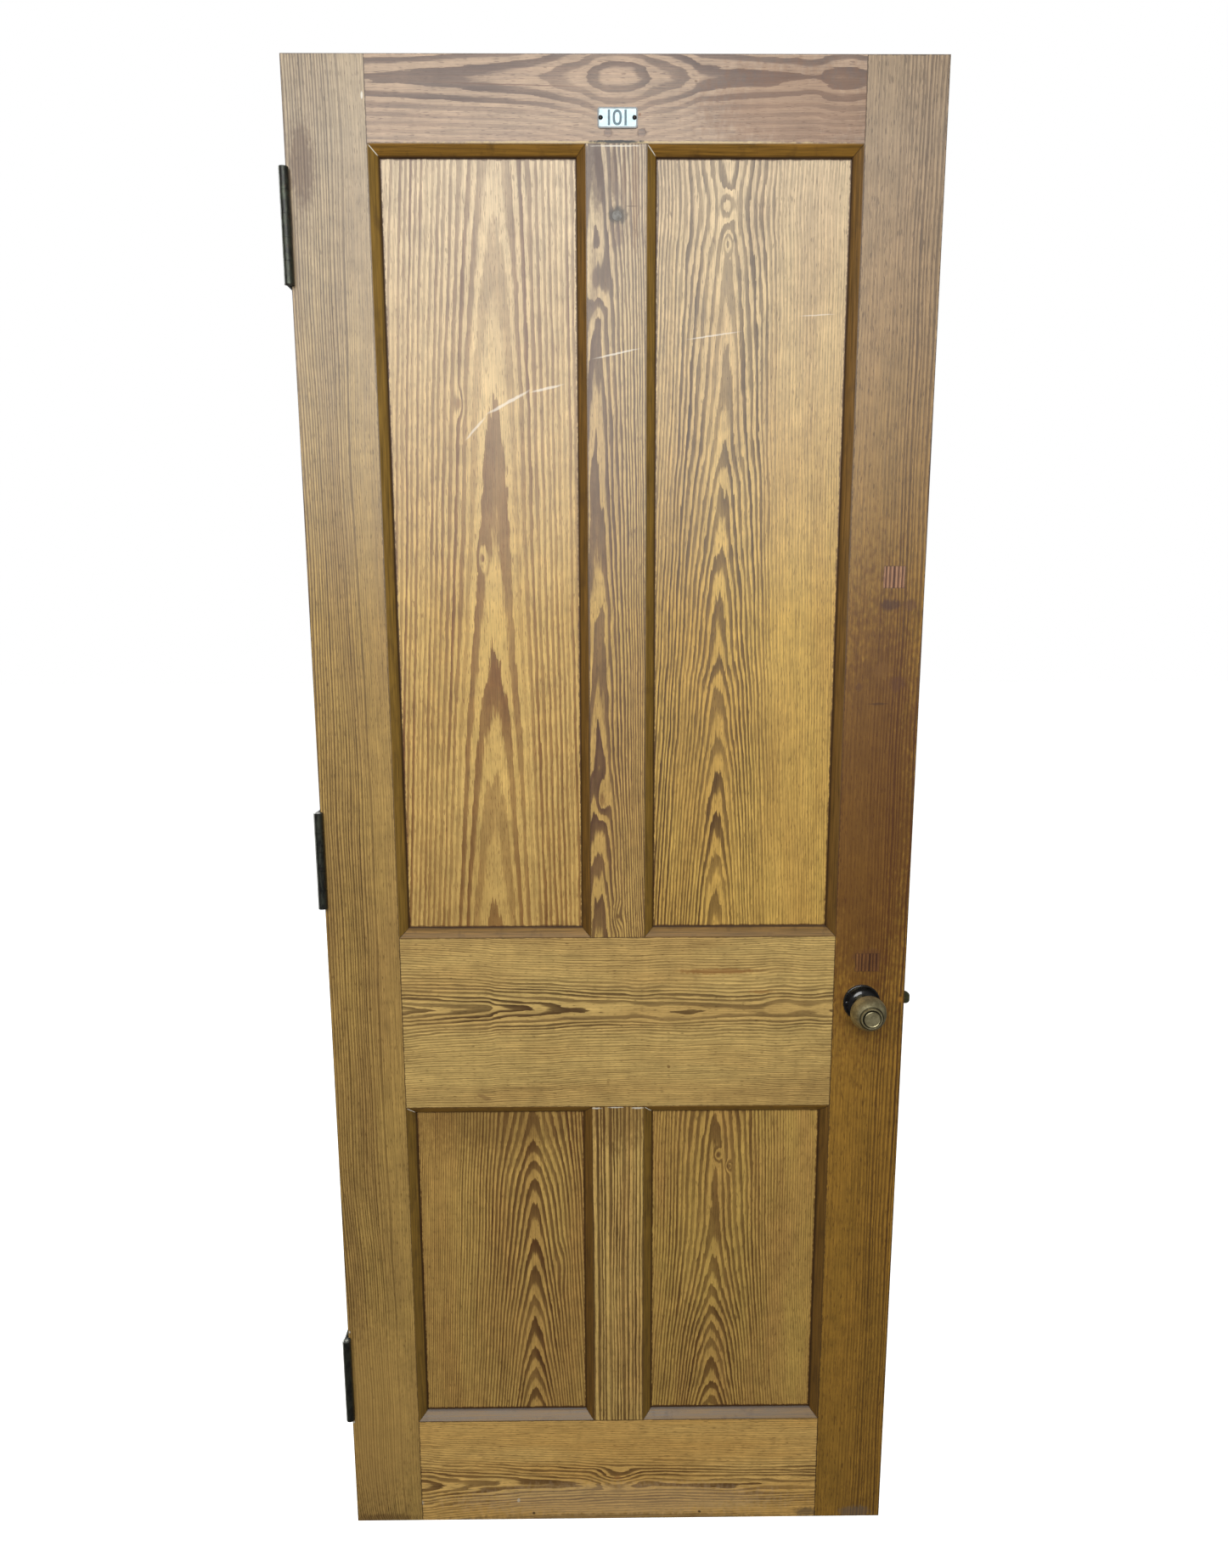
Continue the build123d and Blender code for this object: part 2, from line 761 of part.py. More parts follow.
nodes = {
    "hinge_stile": stile(-1) - hinge_cuts,
    "lock_stile": stile(1) - lock_cuts,
    "top_rail": top_rail - hinge_cuts - rail_plugs() - number_plate_screws(),
    "lock_rail": lock_rail - hinge_cuts,
    "bottom_rail": bottom_rail - hinge_cuts,
    "upper_muntin": muntin(lock_rail_top, top_rail_base) - muntin_plug(),
    "lower_muntin": muntin(bottom_rail_height, lock_rail_base),
    "hinge_stile_wedges": joined([w - hinge_cuts for span in all_spans for w in wedges(-1, *span)]),
    "lock_stile_wedges": joined([w for span in all_spans for w in wedges(1, *span)]),
    "front_knob": knob(-1),
    "back_knob": knob(1),
    "knob_spindle": spindle(),
    "knob_screws": joined([grub_screw(-1), grub_screw(1)]),
    "follower": follower(),
    "front_rose": rose(-1),
    "back_rose": rose(1),
    "rose_screws": joined(all_rose_screws),
    "latch_case": case_body(),
    "latch_case_cover": case_cover(),
    "latch_forend": forend(),
    "forend_screws": joined(forend_screws()),
    "latch_bolt": latch_bolt(),
    "latch_spring": latch_spring(),
    "number_plate": number_plate(),
    "number_plate_screws": joined(number_plate_screws()),
    "upper_patch": upper_patch,
    "lower_patch": lower_patch,
    "rail_plugs": joined(rail_plugs()),
    "muntin_plug": muntin_plug(),
}
for name, (x, z) in openings.items():
    nodes[name + "_panel"] = panel(x, z)
    nodes[name + "_front_moulding"] = moulding(x, z, -1)
    nodes[name + "_back_moulding"] = moulding(x, z, 1)
for name, centre in hinge_centres.items():
    nodes[name + "_hinge_door_leaf"] = hinge_leaf(centre, 1)
    nodes[name + "_hinge_frame_leaf"] = hinge_leaf(centre, -1)
    nodes[name + "_hinge_pin"] = hinge_pin(centre)
    nodes[name + "_hinge_screws"] = joined(hinge_screws(centre))

os.makedirs("parts", exist_ok=True)
for name, shape in nodes.items():
    export_step(shape, f"parts/{name}.step")
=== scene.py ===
# %% [markdown]
# An old pine interior door, stripped of its paint and waxed, stands alone in a pale studio.
# The CAD part already has every board, hinge and screw in its place, so this lesson dresses it: the
# grain of each board, the brown mouldings, the aged metal, and the small marks of a long use.

import bpy
import numpy as np
from mathutils import Matrix, Vector


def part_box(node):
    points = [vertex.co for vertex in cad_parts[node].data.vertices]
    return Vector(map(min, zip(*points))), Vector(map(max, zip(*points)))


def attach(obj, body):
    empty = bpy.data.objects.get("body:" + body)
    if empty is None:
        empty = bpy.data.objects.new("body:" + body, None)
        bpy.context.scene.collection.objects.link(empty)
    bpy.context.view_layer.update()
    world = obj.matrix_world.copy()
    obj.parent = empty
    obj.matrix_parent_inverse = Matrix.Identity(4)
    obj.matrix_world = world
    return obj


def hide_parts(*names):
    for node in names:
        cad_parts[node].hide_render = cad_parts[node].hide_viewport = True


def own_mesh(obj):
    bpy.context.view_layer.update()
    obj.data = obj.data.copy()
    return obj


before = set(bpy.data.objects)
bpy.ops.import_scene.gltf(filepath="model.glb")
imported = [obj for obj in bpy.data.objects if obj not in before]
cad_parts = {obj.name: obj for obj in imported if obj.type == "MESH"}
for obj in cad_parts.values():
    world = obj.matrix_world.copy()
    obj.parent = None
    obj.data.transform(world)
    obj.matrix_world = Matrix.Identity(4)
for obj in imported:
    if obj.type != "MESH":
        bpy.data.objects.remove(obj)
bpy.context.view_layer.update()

# %% [markdown]
# The camera stood at chest height in front of the middle of the door and looked down about ten
# degrees. Its place and tilt were solved from the door's own corners, so they are given as vectors
# here, and a matrix with right, up and backward as its columns turns them into Blender's camera.

# %% Camera
eye = Vector((-0.0165, -1.3481, 1.3375))
forward = Vector((0.00893, 0.98353, -0.18055)).normalized()
up = Vector((0.0041, 0.18052, 0.98356)).normalized()
right = forward.cross(up)
camera_data = bpy.data.cameras.new("Camera")
camera_data.lens = 24.27
camera_data.sensor_fit = "VERTICAL"
camera_data.sensor_height = 36.0
camera = bpy.data.objects.new("Camera", camera_data)
bpy.context.scene.collection.objects.link(camera)
camera.matrix_world = Matrix.Translation(eye) @ Matrix((right, up, -forward)).transposed().to_4x4()
bpy.context.scene.camera = camera
print("Camera looks down", round(float(np.degrees(np.arcsin(-forward.z))), 1), "degrees")

# %% [markdown]
# Colours are written as the hex values that a screen shows. Shaders add light up in linear values,
# so one function turns hex into linear.


# %% Colours
def linear(hex_code):
    """A screen colour as linear red, green, blue and an alpha of one."""
    parts = [int(hex_code[i : i + 2], 16) / 255 for i in (1, 3, 5)]
    return tuple(((v + 0.055) / 1.055) ** 2.4 if v > 0.04045 else v / 12.92 for v in parts) + (1.0,)


print("Mid grey in linear light:", round(linear("#808080")[0], 3))

# %% [markdown]
# A shader is a tree of small nodes. One function adds any node: it sets the node's own settings by
# name, fills its sockets in order or by name, and links a socket wherever it is handed one.


# %% Add a node
def add(tree, kind, *values, out=0, sockets=None, stops=None, curve=None, **settings):
    """Adds one node and returns its output, by number or name."""
    node = tree.nodes.new("ShaderNode" + kind)
    for name, value in settings.items():
        setattr(node, name, value)
    for key, value in [*enumerate(values), *(sockets or {}).items()]:
        if value is None:
            continue
        if isinstance(value, bpy.types.NodeSocket):
            tree.links.new(value, node.inputs[key])
        else:
            node.inputs[key].default_value = value
    if stops:
        ramp = node.color_ramp.elements
        while len(ramp) < len(stops):
            ramp.new(0.5)
        for element, (place, shade) in zip(ramp, stops):
            element.position = place
            element.color = (shade, shade, shade, 1.0)
    if curve:
        points = node.mapping.curves[0].points
        while len(points) < len(curve):
            points.new(0.5, 0.5)
        for point, place in zip(points, curve):
            point.location = place
        node.mapping.update()
    return node.outputs[out] if len(node.outputs) else None


def empty_material(name):
    """A new material with no nodes in its tree yet."""
    material = bpy.data.materials.new(name)
    material.use_nodes = True
    material.node_tree.nodes.clear()
    return material, material.node_tree


def dress(material, *node_names):
    """Gives CAD nodes their finish."""
    for name in node_names:
        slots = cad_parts[name].data.materials
        slots.clear()
        slots.append(material)


# %% [markdown]
# One large soft box behind the camera and above it lights the face, more at the top than at the
# foot, and its mirror image in the wax pales the upper half of the door. A second one lights the
# back. The world is white to the camera alone. To the door it is a dim sky over a dark floor, because
# a white room all round would wash the colour out of the wood.

# %% Studio
scene = bpy.context.scene
scene.view_settings.view_transform = "Standard"
world = bpy.data.worlds.new("Studio")
scene.world = world
world.use_nodes = True
sky = world.node_tree
sky.nodes.clear()
height = add(sky, "SeparateXYZ", add(sky, "TexCoord", out="Generated"), out="Z")
level = add(sky, "MapRange", height, -0.25, 0.35, 0.12, 0.27, interpolation_type="SMOOTHSTEP")
fill = add(sky, "Background", (1.0, 0.97, 0.9, 1.0), level)
seen = add(sky, "Background", (1.0, 1.0, 1.0, 1.0), 1.0)
add(sky, "OutputWorld", add(sky, "MixShader", add(sky, "LightPath", out="Is Camera Ray"), fill, seen))


def soft_box(name, centre, target, width, height, power, colour):
    """A rectangular area light that faces its target."""
    data = bpy.data.lights.new(name, "AREA")
    data.shape = "RECTANGLE"
    data.size = width
    data.size_y = height
    data.energy = power
    data.color = colour
    lamp = bpy.data.objects.new(name, data)
    scene.collection.objects.link(lamp)
    lamp.location = centre
    lamp.rotation_euler = (Vector(target) - Vector(centre)).to_track_quat("-Z", "Y").to_euler()
    lamp.visible_camera = False


soft_box("Key", (-0.30, -2.3, 2.3), (-0.30, 0.0, 1.72), 2.2, 1.7, 69.0, (0.99, 0.99, 0.98))
soft_box("Back", (-1.9, 2.8, 2.5), (0.0, 0.0, 1.1), 2.8, 2.4, 44.0, (0.98, 0.99, 1.0))

# %% [markdown]
# The floor is a wide sheet of white paper. It glows by itself and only the camera sees it, so it
# throws no light back on the wood and ends in the same white as the world behind it.

# %% Floor
span = 14.0
floor_mesh = bpy.data.meshes.new("floor")
corners = [(-span, -span, 0), (span, -span, 0), (span, span, 0), (-span, span, 0)]
floor_mesh.from_pydata(corners, [], [(0, 1, 2, 3)])
floor = bpy.data.objects.new("floor", floor_mesh)
scene.collection.objects.link(floor)
floor.visible_diffuse = False
floor.visible_glossy = False
# Paper: matt and even, a ground without a sheen of its own
paper, tree = empty_material("white_backdrop_paper")
sockets = {
    "Base Color": linear("#F4F4F2"),
    "Roughness": 0.9,
    "Emission Color": (1.0, 1.0, 1.0, 1.0),
    "Emission Strength": 0.84,
}
add(tree, "OutputMaterial", add(tree, "BsdfPrincipled", sockets=sockets))
floor_mesh.materials.append(paper)
print("Floor sheet", 2 * span, "m wide")

# %% [markdown]
# Every pattern below is sized in millimetres, so the first nodes of each material turn Blender's
# object coordinates, which are metres, into millimetres. A noise gets its cell size from a Mapping
# node, long along the grain and short across it.


# %% Millimetres
def millimetres(tree):
    """Place on the door in millimetres, from its object coordinates."""
    place = add(tree, "TexCoord", out="Object")
    return add(tree, "VectorMath", place, sockets={"Scale": 1000.0}, operation="SCALE")


def cells(tree, mm, size, seed):
    """Coordinates in which one unit is one cell of this size, moved along by the seed."""
    shift = (seed * 1.37, seed * 0.71, seed * 2.13)
    return add(tree, "Mapping", mm, shift, None, tuple(1.0 / s for s in size))


def noise(tree, mm, size, seed, detail=1.0, rough=0.5):
    """Smooth noise about one half, with cells of this size in millimetres."""
    sockets = {"Scale": 1.0, "Detail": detail, "Roughness": rough}
    return add(tree, "TexNoise", cells(tree, mm, size, seed), sockets=sockets)


def from_centre(tree, mm, centre, size, turn=None):
    """Distance from a centre in a space turned and stretched so that one is an oval's rim."""
    ball = add(tree, "Mapping", mm, centre, turn, size, vector_type="TEXTURE")
    return add(tree, "VectorMath", ball, operation="LENGTH", out="Value")


def insets(tree, mm, left, right, bottom, top):
    """x and z, and how far inwards each is from the nearer of its limits, below zero outside."""
    x, _, z = add(tree, "SeparateXYZ", mm).node.outputs
    inwards = []
    for value, low, high in ((x, left, right), (z, bottom, top)):
        off_centre = add(tree, "Math", value, -(low + high) / 2, operation="ADD")
        off_centre = add(tree, "Math", off_centre, operation="ABSOLUTE")
        inwards.append(add(tree, "Math", (high - low) / 2, off_centre, operation="SUBTRACT"))
    return x, z, *inwards


def box_mm(node_name):
    """A CAD node's lowest and highest corners in millimetres."""
    low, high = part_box(node_name)
    return np.array(low) * 1000, np.array(high) * 1000


def limits(node_name, margin=0.0):
    """A CAD node's lowest and highest x, then z, moved outwards by a margin in millimetres."""
    low, high = box_mm(node_name)
    return low[0] - margin, high[0] + margin, low[2] - margin, high[2] + margin


smooth = {"interpolation_type": "SMOOTHSTEP"}
endless = 1e6
print("The front knob starts at x", round(float(limits("front_knob")[0]), 1), "mm")

# %% [markdown]
# A door of this age has stains, filled holes, flecks of old paint and dirt in its corners, and two
# marks here are painted shadows. Each is an oval spot with a ragged rim. A Mapping node of the texture
# kind moves, turns and scales the place so that the spot becomes a ball of radius one, and the
# distance from its middle says how strongly it covers. Its depth is small, so that a stain on the
# front doesn't show on the back.

# %% Marks
mark_depth = 5.0


def paint_marks(tree, mm, front, colour, marks, seed):
    """Lays ovals over a colour.

    A mark is x, z, half width, half height, hex and strength. A stroke has its turn in degrees too.
    """
    if not marks:
        return colour
    ragged_rim = cells(tree, mm, (5.0, 5.0, 9.0), seed)
    cloud = add(tree, "TexNoise", ragged_rim, out="Color", sockets={"Scale": 1.0, "Detail": 3.0})
    cloud = add(tree, "VectorMath", cloud, (0.5, 0.5, 0.5), operation="SUBTRACT")
    for x, z, wide, high, shade, strength, *slant in marks:
        turn = (0.0, np.radians(slant[0]) if slant else 0.0, 0.0)
        # A stroke stays smooth along its length, so it is ragged by its thickness alone
        loose = 1.5 * high if slant else wide
        ragged = add(tree, "VectorMath", cloud, (loose, 0.0, high), mm, operation="MULTIPLY_ADD")
        far = from_centre(tree, ragged, (x, front, z), (wide, mark_depth, high), turn)
        cover = add(tree, "MapRange", far, 0.45, 1.0, strength, 0.0, **smooth)
        colour = add(tree, "MixRGB", cover, colour, linear(shade))
    return colour


print("Marks reach", mark_depth, "mm into the wood")

# %% [markdown]
# A board's face ends where the next board begins, and dirt gathers along that line; round the panels
# the darkening there is painted shade as well. Stiles run the full height. Rails show between the
# stiles, muntins between the rails, and a panel inside its moulding. Small pieces let into a board get
# a face wider than themselves, so that they stay clean.

# %% Faces
moulding_width = 12.0
clean_margin = 9.0
corner_names = ("upper_left", "upper_right", "lower_left", "lower_right")
stile_edge = limits("hinge_stile")[1]
faces = {}
for name in ("hinge_stile", "lock_stile", "upper_patch", "lower_patch"):
    faces[name] = limits(name)
for name in ("top_rail", "lock_rail", "bottom_rail"):
    faces[name] = (stile_edge, -stile_edge, *limits(name)[2:])
for name, corner in (("upper_muntin", "upper_left"), ("lower_muntin", "lower_left")):
    faces[name] = (*limits(name)[:2], *limits(corner + "_front_moulding")[2:])
for name in corner_names:
    faces[name + "_panel"] = limits(name + "_front_moulding", -moulding_width)
for name in ("rail_plugs", "hinge_stile_wedges", "lock_stile_wedges"):
    faces[name] = limits(name, clean_margin)


def joint_lines(tree, mm, wood, face, board):
    """Dirt in the joints and along the arrises of a board's face, which round the panels is painted
    shade as well.
    """
    crumbs = noise(tree, mm, (6.0, 6.0, 6.0), board["seed"] + 7, 3.0)
    reach = add(tree, "MapRange", crumbs, 0.3, 0.7, 0.4, board["dirt_and_shade"])
    _, _, x_in, z_in = insets(tree, mm, *face)
    near = add(tree, "Math", x_in, z_in, operation="MINIMUM")
    share = add(tree, "Math", near, reach, operation="DIVIDE")
    cover = add(tree, "MapRange", share, 0.3, 1.0, 0.8, 0.0, **smooth)
    return add(tree, "MixRGB", cover, wood, linear(board["dirt_and_shade_colour"]))


print("Boards with a face of their own:", len(faces))

# %% [markdown]
# A tree adds a pale soft layer in spring and a dark hard one in summer, so in section it is a set of
# rings, and a board's grain is where its faces cut them. The material works that out in space: the
# distance from the pith, divided by the ring width, is the ring number. A curve along the board,
# which stands for the log's taper, lifts it and so draws the arches: each of its points says at which
# height which ring closes. The pattern fills the board, so its edges and end grain come out right.


# %% Rings
def arches(tree, along, u, board, middle):
    """The rings that taper adds along a board, less the middle of what its waves add."""
    low, high = board["tips"][0][0], board["tips"][-1][0]
    least = min(ring for _, ring in board["tips"])
    most = max(ring for _, ring in board["tips"]) + 0.001
    curve = [((v - low) / (high - low), (ring - least) / (most - least)) for v, ring in board["tips"]]
    place = add(tree, "MapRange", along, low, high, 0.0, 1.0)
    lift = add(tree, "FloatCurve", 1.0, place, curve=curve)
    # Near the pith the whole lift counts, further out a share of it, so outer lines run straighter
    beside = add(tree, "Math", u, operation="ABSOLUTE")
    share = add(tree, "MapRange", beside, 12.0, 60.0, 1.0, board["calm"], **smooth)
    lift = add(tree, "Math", lift, most - least, (least - most) / 2, operation="MULTIPLY_ADD")
    return add(tree, "Math", lift, share, (least + most) / 2 - middle, operation="MULTIPLY_ADD")


def ring_number(tree, mm, front, cell, board):
    """The ring that a point lies in, counted from the pith, with its fraction, and u and across."""
    seed = board["seed"]
    x, y, z = add(tree, "SeparateXYZ", mm).node.outputs
    across, along = (x, z) if board["upright"] else (z, x)
    # u: distance across from the pith, which leans and wanders a little
    u = add(tree, "Math", along, -board["lean"], across, operation="MULTIPLY_ADD")
    u = add(tree, "Math", u, -board["pith"], operation="ADD")
    slow = noise(tree, mm, cell(90.0, 330.0), seed, 1.0)
    u = add(tree, "Math", u, -board["wander"] / 2, operation="ADD")
    u = add(tree, "Math", slow, board["wander"], u, operation="MULTIPLY_ADD")
    depth = add(tree, "Math", y, board["depth"] - front, operation="ADD")
    section = add(tree, "CombineXYZ", u, depth, 0.0)
    out = add(tree, "VectorMath", section, operation="LENGTH", out="Value")
    # Waves of every line: cell across, cell along, and rings
    waves = ((16.0, 95.0, board["sway"]), (7.0, 70.0, board["flame"]), (2.6, 24.0, board["shake"]))
    middle = (sum(amount for _, _, amount in waves) + board["years"]) / 2
    lift = arches(tree, along, u, board, middle)
    # The tree grew slower as it aged: rings = d * (d / tighten^2 + 1 / width) + lift
    out = add(tree, "Math", out, board["depth"], operation="SUBTRACT")
    slowing = 1.0 / board["tighten"] ** 2
    per_mm = add(tree, "Math", out, slowing, 1.0 / board["width"], operation="MULTIPLY_ADD")
    rings = add(tree, "Math", out, per_mm, lift, operation="MULTIPLY_ADD")
    for wide, long, amount in waves:
        wave = noise(tree, mm, cell(wide, long), seed + 5, 2.0, 0.6)
        rings = add(tree, "Math", wave, amount, rings, operation="MULTIPLY_ADD")
    # Knots and eyes lift the rings around them
    for eye_x, eye_z, wide, high, push in board["eyes"]:
        far = from_centre(tree, mm, (eye_x, 0.0, eye_z), (wide, endless, high))
        lifted = add(tree, "MapRange", far, 0.0, 1.0, push, 0.0, **smooth)
        rings = add(tree, "Math", rings, lifted, operation="ADD")
    # Wide and narrow years
    years = add(tree, "Math", rings, 0.37, seed * 3.1, operation="MULTIPLY_ADD")
    sockets = {"W": years, "Scale": 1.0, "Detail": 1.0}
    years = add(tree, "TexNoise", sockets=sockets, noise_dimensions="1D")
    rings = add(tree, "Math", years, board["years"], rings, operation="MULTIPLY_ADD")
    return rings, u, across


# %% [markdown]
# Within a ring the wood darkens slowly and then stops at once, where next spring's wood begins. The
# summer wood takes up the stain of the old finish and its years differ in depth, so a random number
# for each whole ring weakens some of them. Where a board was sawn close to the radius its lines are
# fine and faint, which the table gives as a fade across the board or away from the pith.


# %% Summer wood
def summer_wood(tree, mm, rings, u, across, cell, board):
    """How dark the wood is at a point, from spring wood at nothing to summer wood at one."""
    phase = add(tree, "Math", rings, operation="FRACT")
    start = board["late_start"]
    stops = [(0.0, 0.3), (0.05, 0.0), (start - 0.1, 0.08), (start + 0.05, 0.85)]
    dark = add(tree, "ValToRGB", phase, stops=[*stops, (0.9, 1.0), (0.985, 0.9)])
    whole = add(tree, "Math", rings, operation="FLOOR")
    year = add(tree, "TexWhiteNoise", sockets={"W": whole}, noise_dimensions="1D")
    year = add(tree, "MapRange", year, 0.0, 1.0, board["uneven"], 1.0)
    dark = add(tree, "Math", dark, year, operation="MULTIPLY")
    patch = noise(tree, mm, cell(40.0, 260.0), board["seed"] + 9, 2.0)
    patch = add(tree, "MapRange", patch, 0.36, 0.6, board["weakest"], 1.0)
    dark = add(tree, "Math", dark, patch, operation="MULTIPLY")
    if board["fade"]:
        faded = add(tree, "MapRange", across, *board["fade"])
        dark = add(tree, "Math", dark, faded, operation="MULTIPLY")
    if board["band"]:
        beside = add(tree, "Math", u, operation="ABSOLUTE")
        faded = add(tree, "MapRange", beside, *board["band"])
        dark = add(tree, "Math", dark, faded, operation="MULTIPLY")
    return dark


# %% [markdown]
# Every board was sawn from its own log, so each has its own table, in millimetres. It always says
# where the pith lay across the face and how deep behind it, how wide the first rings are, and the
# tips of the arches: which ring closes at which place along the board. Two tones of spring wood and
# one of summer wood follow. What else a table may hold is listed here, with its usual value.

# %% What a board's table may hold
usual_board = dict(
    upright=True,  # whether the grain runs up the door, not from side to side
    lean=0.0,  # how far the pith moves across, for each millimetre along
    wander=10.0,  # how far it strays to either side, taken together
    tighten=1e3,  # the smaller, the sooner the rings narrow away from the pith
    calm=1.0,  # the share of the arches that is left 60 mm beside the pith
    sway=0.2,  # rings by which broad waves shift a line
    flame=0.5,  # rings by which middling waves shift it
    shake=0.25,  # rings by which fine waves shift it
    years=0.5,  # rings by which wide and narrow years shift it
    late_start=0.5,  # the place in a ring where summer wood begins
    uneven=0.7,  # how dark the faintest year is
    weakest=0.7,  # how dark the faintest patch is
    fade=None,  # two places across the door, and how dark lines are at each
    band=None,  # the same for two distances from the pith
    eyes=(),  # x, z, half width, half height, and the rings by which an eye lifts the others
    dirt_and_shade=1.6,  # how far dirt, and round the panels painted shade, reaches from an edge, at most
    dirt_and_shade_colour="#3F2A14",
    marks=(),
)
print("Values that a board may set:", len(usual_board))

# %% [markdown]
# Over the rings lie the fibres, short resin ducts, slow changes of tone, the dirt of the joints
# with painted shade round the panels, and a painted sheen towards the top.
# Wax leaves a soft shine, so the wood is a plastic-like shader of middling roughness, and a small
# bump lets the hard summer wood stand proud of the spring wood, which scrubbing wears away.


# %% Waxed pine
def pine(node_name, own_values):
    """Waxed stripped pine with a board's own rings, tones and marks."""
    board = {**usual_board, **own_values}
    seed = board["seed"]
    front = box_mm(node_name)[0][1]
    material, tree = empty_material("waxed_pine_" + node_name)
    mm = millimetres(tree)

    def cell(wide, long):
        return (wide, wide, long) if board["upright"] else (long, wide, wide)

    rings, u, across = ring_number(tree, mm, front, cell, board)
    dark = summer_wood(tree, mm, rings, u, across, cell, board)
    # Slow changes between two tones of spring wood, then the summer wood
    tone = noise(tree, mm, cell(38.0, 240.0), seed + 2, 2.0)
    tone = add(tree, "MapRange", tone, 0.36, 0.64, 0.0, 1.0)
    pale = add(tree, "MixRGB", tone, linear(board["early"]), linear(board["early_b"]))
    wood = add(tree, "MixRGB", dark, pale, linear(board["late"]))
    # Fibres are far finer than this in fact, and would not show
    fibre = noise(tree, mm, cell(1.3, 60.0), seed + 3, 3.0, 0.65)
    streaks = add(tree, "MapRange", fibre, 0.25, 0.75, 0.68, 1.3)
    wood = add(tree, "MixRGB", 1.0, wood, streaks, blend_type="MULTIPLY")
    ducts = noise(tree, mm, cell(0.8, 9.0), seed + 4, 0.0)
    ducts = add(tree, "MapRange", ducts, 0.66, 0.74, 0.0, 0.5)
    wood = add(tree, "MixRGB", ducts, wood, linear(board["late"]))
    blotch = noise(tree, mm, (22.0, 22.0, 22.0), seed + 6, 3.0, 0.6)
    blotch = add(tree, "MapRange", blotch, 0.3, 0.7, 0.87, 1.11)
    wood = add(tree, "MixRGB", 1.0, wood, blotch, blend_type="MULTIPLY")
    # Painted sheen: towards the top the wood is painted greyer and a little paler, standing in for the
    # pale sheen that the light above lays on the wax
    height = add(tree, "SeparateXYZ", mm, out="Z")
    painted_sheen_saturation = add(tree, "MapRange", height, 1300.0, 1850.0, 0.98, 0.6)
    painted_sheen_value = add(tree, "MapRange", height, 1100.0, 1850.0, 1.02, 1.04)
    sockets = {"Saturation": painted_sheen_saturation, "Value": painted_sheen_value, "Color": wood}
    wood = add(tree, "HueSaturation", sockets=sockets)
    wood = joint_lines(tree, mm, wood, faces[node_name], board)
    wood = paint_marks(tree, mm, front, wood, board["marks"], seed)
    relief = add(tree, "Math", dark, 0.5, fibre, operation="MULTIPLY_ADD")
    relief = add(tree, "Bump", sockets={"Strength": 0.4, "Distance": 0.00025, "Height": relief})
    # Wax: a soft shine that breaks along the fibres
    sockets = {
        "Base Color": wood,
        "Roughness": add(tree, "MapRange", fibre, 0.2, 0.8, 0.36, 0.5),
        "IOR": 1.52,
        "Normal": relief,
    }
    add(tree, "OutputMaterial", add(tree, "BsdfPrincipled", sockets=sockets))
    return material


white_paint = "#D9D2C4"
white_scuff = "#EFE6D8"
print("Marks in old white:", white_paint, white_scuff)

# %% [markdown]
# The stiles were sawn close to the radius, so they show straight fine lines. The lock stile is the
# reddest board, darkened round the latch by hands, and two patches fill the places of old locks.

# %% Stiles and their patches
boards = {}
boards["hinge_stile"] = dict(
    seed=1, pith=-560.0, depth=60.0, width=3.2, wander=16.0, years=1.2, late_start=0.56,
    uneven=0.6, weakest=0.8, fade=(-330.0, -305.0, 1.0, 0.35),
    tips=[(0, 0), (300, 3.0), (1936, 4)],
    early="#B08E4A", early_b="#A48245", late="#4C3008",
    marks=[
        (-362, 1820, 20, 60, "#4E3018", 0.6), (-345, 170, 70, 210, "#CFA65E", 0.35),
        (-290, 1893, 1.6, 5, white_paint, 0.9), (-379, 165, 1.6, 2.2, white_paint, 0.9),
        (-379, 310, 1.5, 2.5, white_paint, 0.8), (-340, 4, 60, 10, "#54381A", 0.5),
    ],
)
boards["lock_stile"] = dict(
    seed=2, pith=520.0, depth=50.0, width=4.2, wander=12.0, years=1.0,
    uneven=0.5, weakest=0.75, fade=(318.0, 355.0, 0.35, 1.0),
    tips=[(0, 0), (1936, 3)],
    early="#987022", early_b="#A07524", late="#42240A", dirt_and_shade=2.4,
    marks=[
        (322, 1060, 95, 400, "#52260C", 0.6), (340, 1318, 17, 9, "#4A2E22", 0.75),
        (365, 1318, 10, 9, "#5A382A", 0.5), (334, 1237, 15, 12, "#7A5424", 0.6),
        (304, 1216, 6, 7, "#5C3A1E", 0.6), (352, 1220, 12, 14, "#5C3822", 0.6),
        (330, 1195, 14, 2, "#4A2E16", 0.7), (352, 767, 2, 3, white_paint, 0.9),
        (376, 800, 3.5, 6, "#A8752A", 0.8), (330, 860, 26, 14, "#5E3826", 0.45),
        (345, 8, 30, 12, "#6B625A", 0.5),
    ],
)
patch = dict(pith=440.0, depth=30.0, width=4.6, weakest=1.0)
boards["upper_patch"] = dict(
    patch, seed=12, wander=1.0, flame=0.1, tips=[(1300, 0), (1400, 0.2)],
    early="#A87850", early_b="#A87850", late="#4D2818", dirt_and_shade=1.4,
)
boards["lower_patch"] = dict(
    patch, seed=13, wander=4.0, flame=0.8, tips=[(800, 0), (900, 0.2)],
    early="#84582A", early_b="#744A22", late="#3C1E10", dirt_and_shade=1.0,
)
print("Stiles and patches:", list(boards))

# %% [markdown]
# The rails lie level, with the pith just behind the face, so each shows one long row of flames and
# straight lines above and below it. Round the eye of the top rail the rings close to ovals.

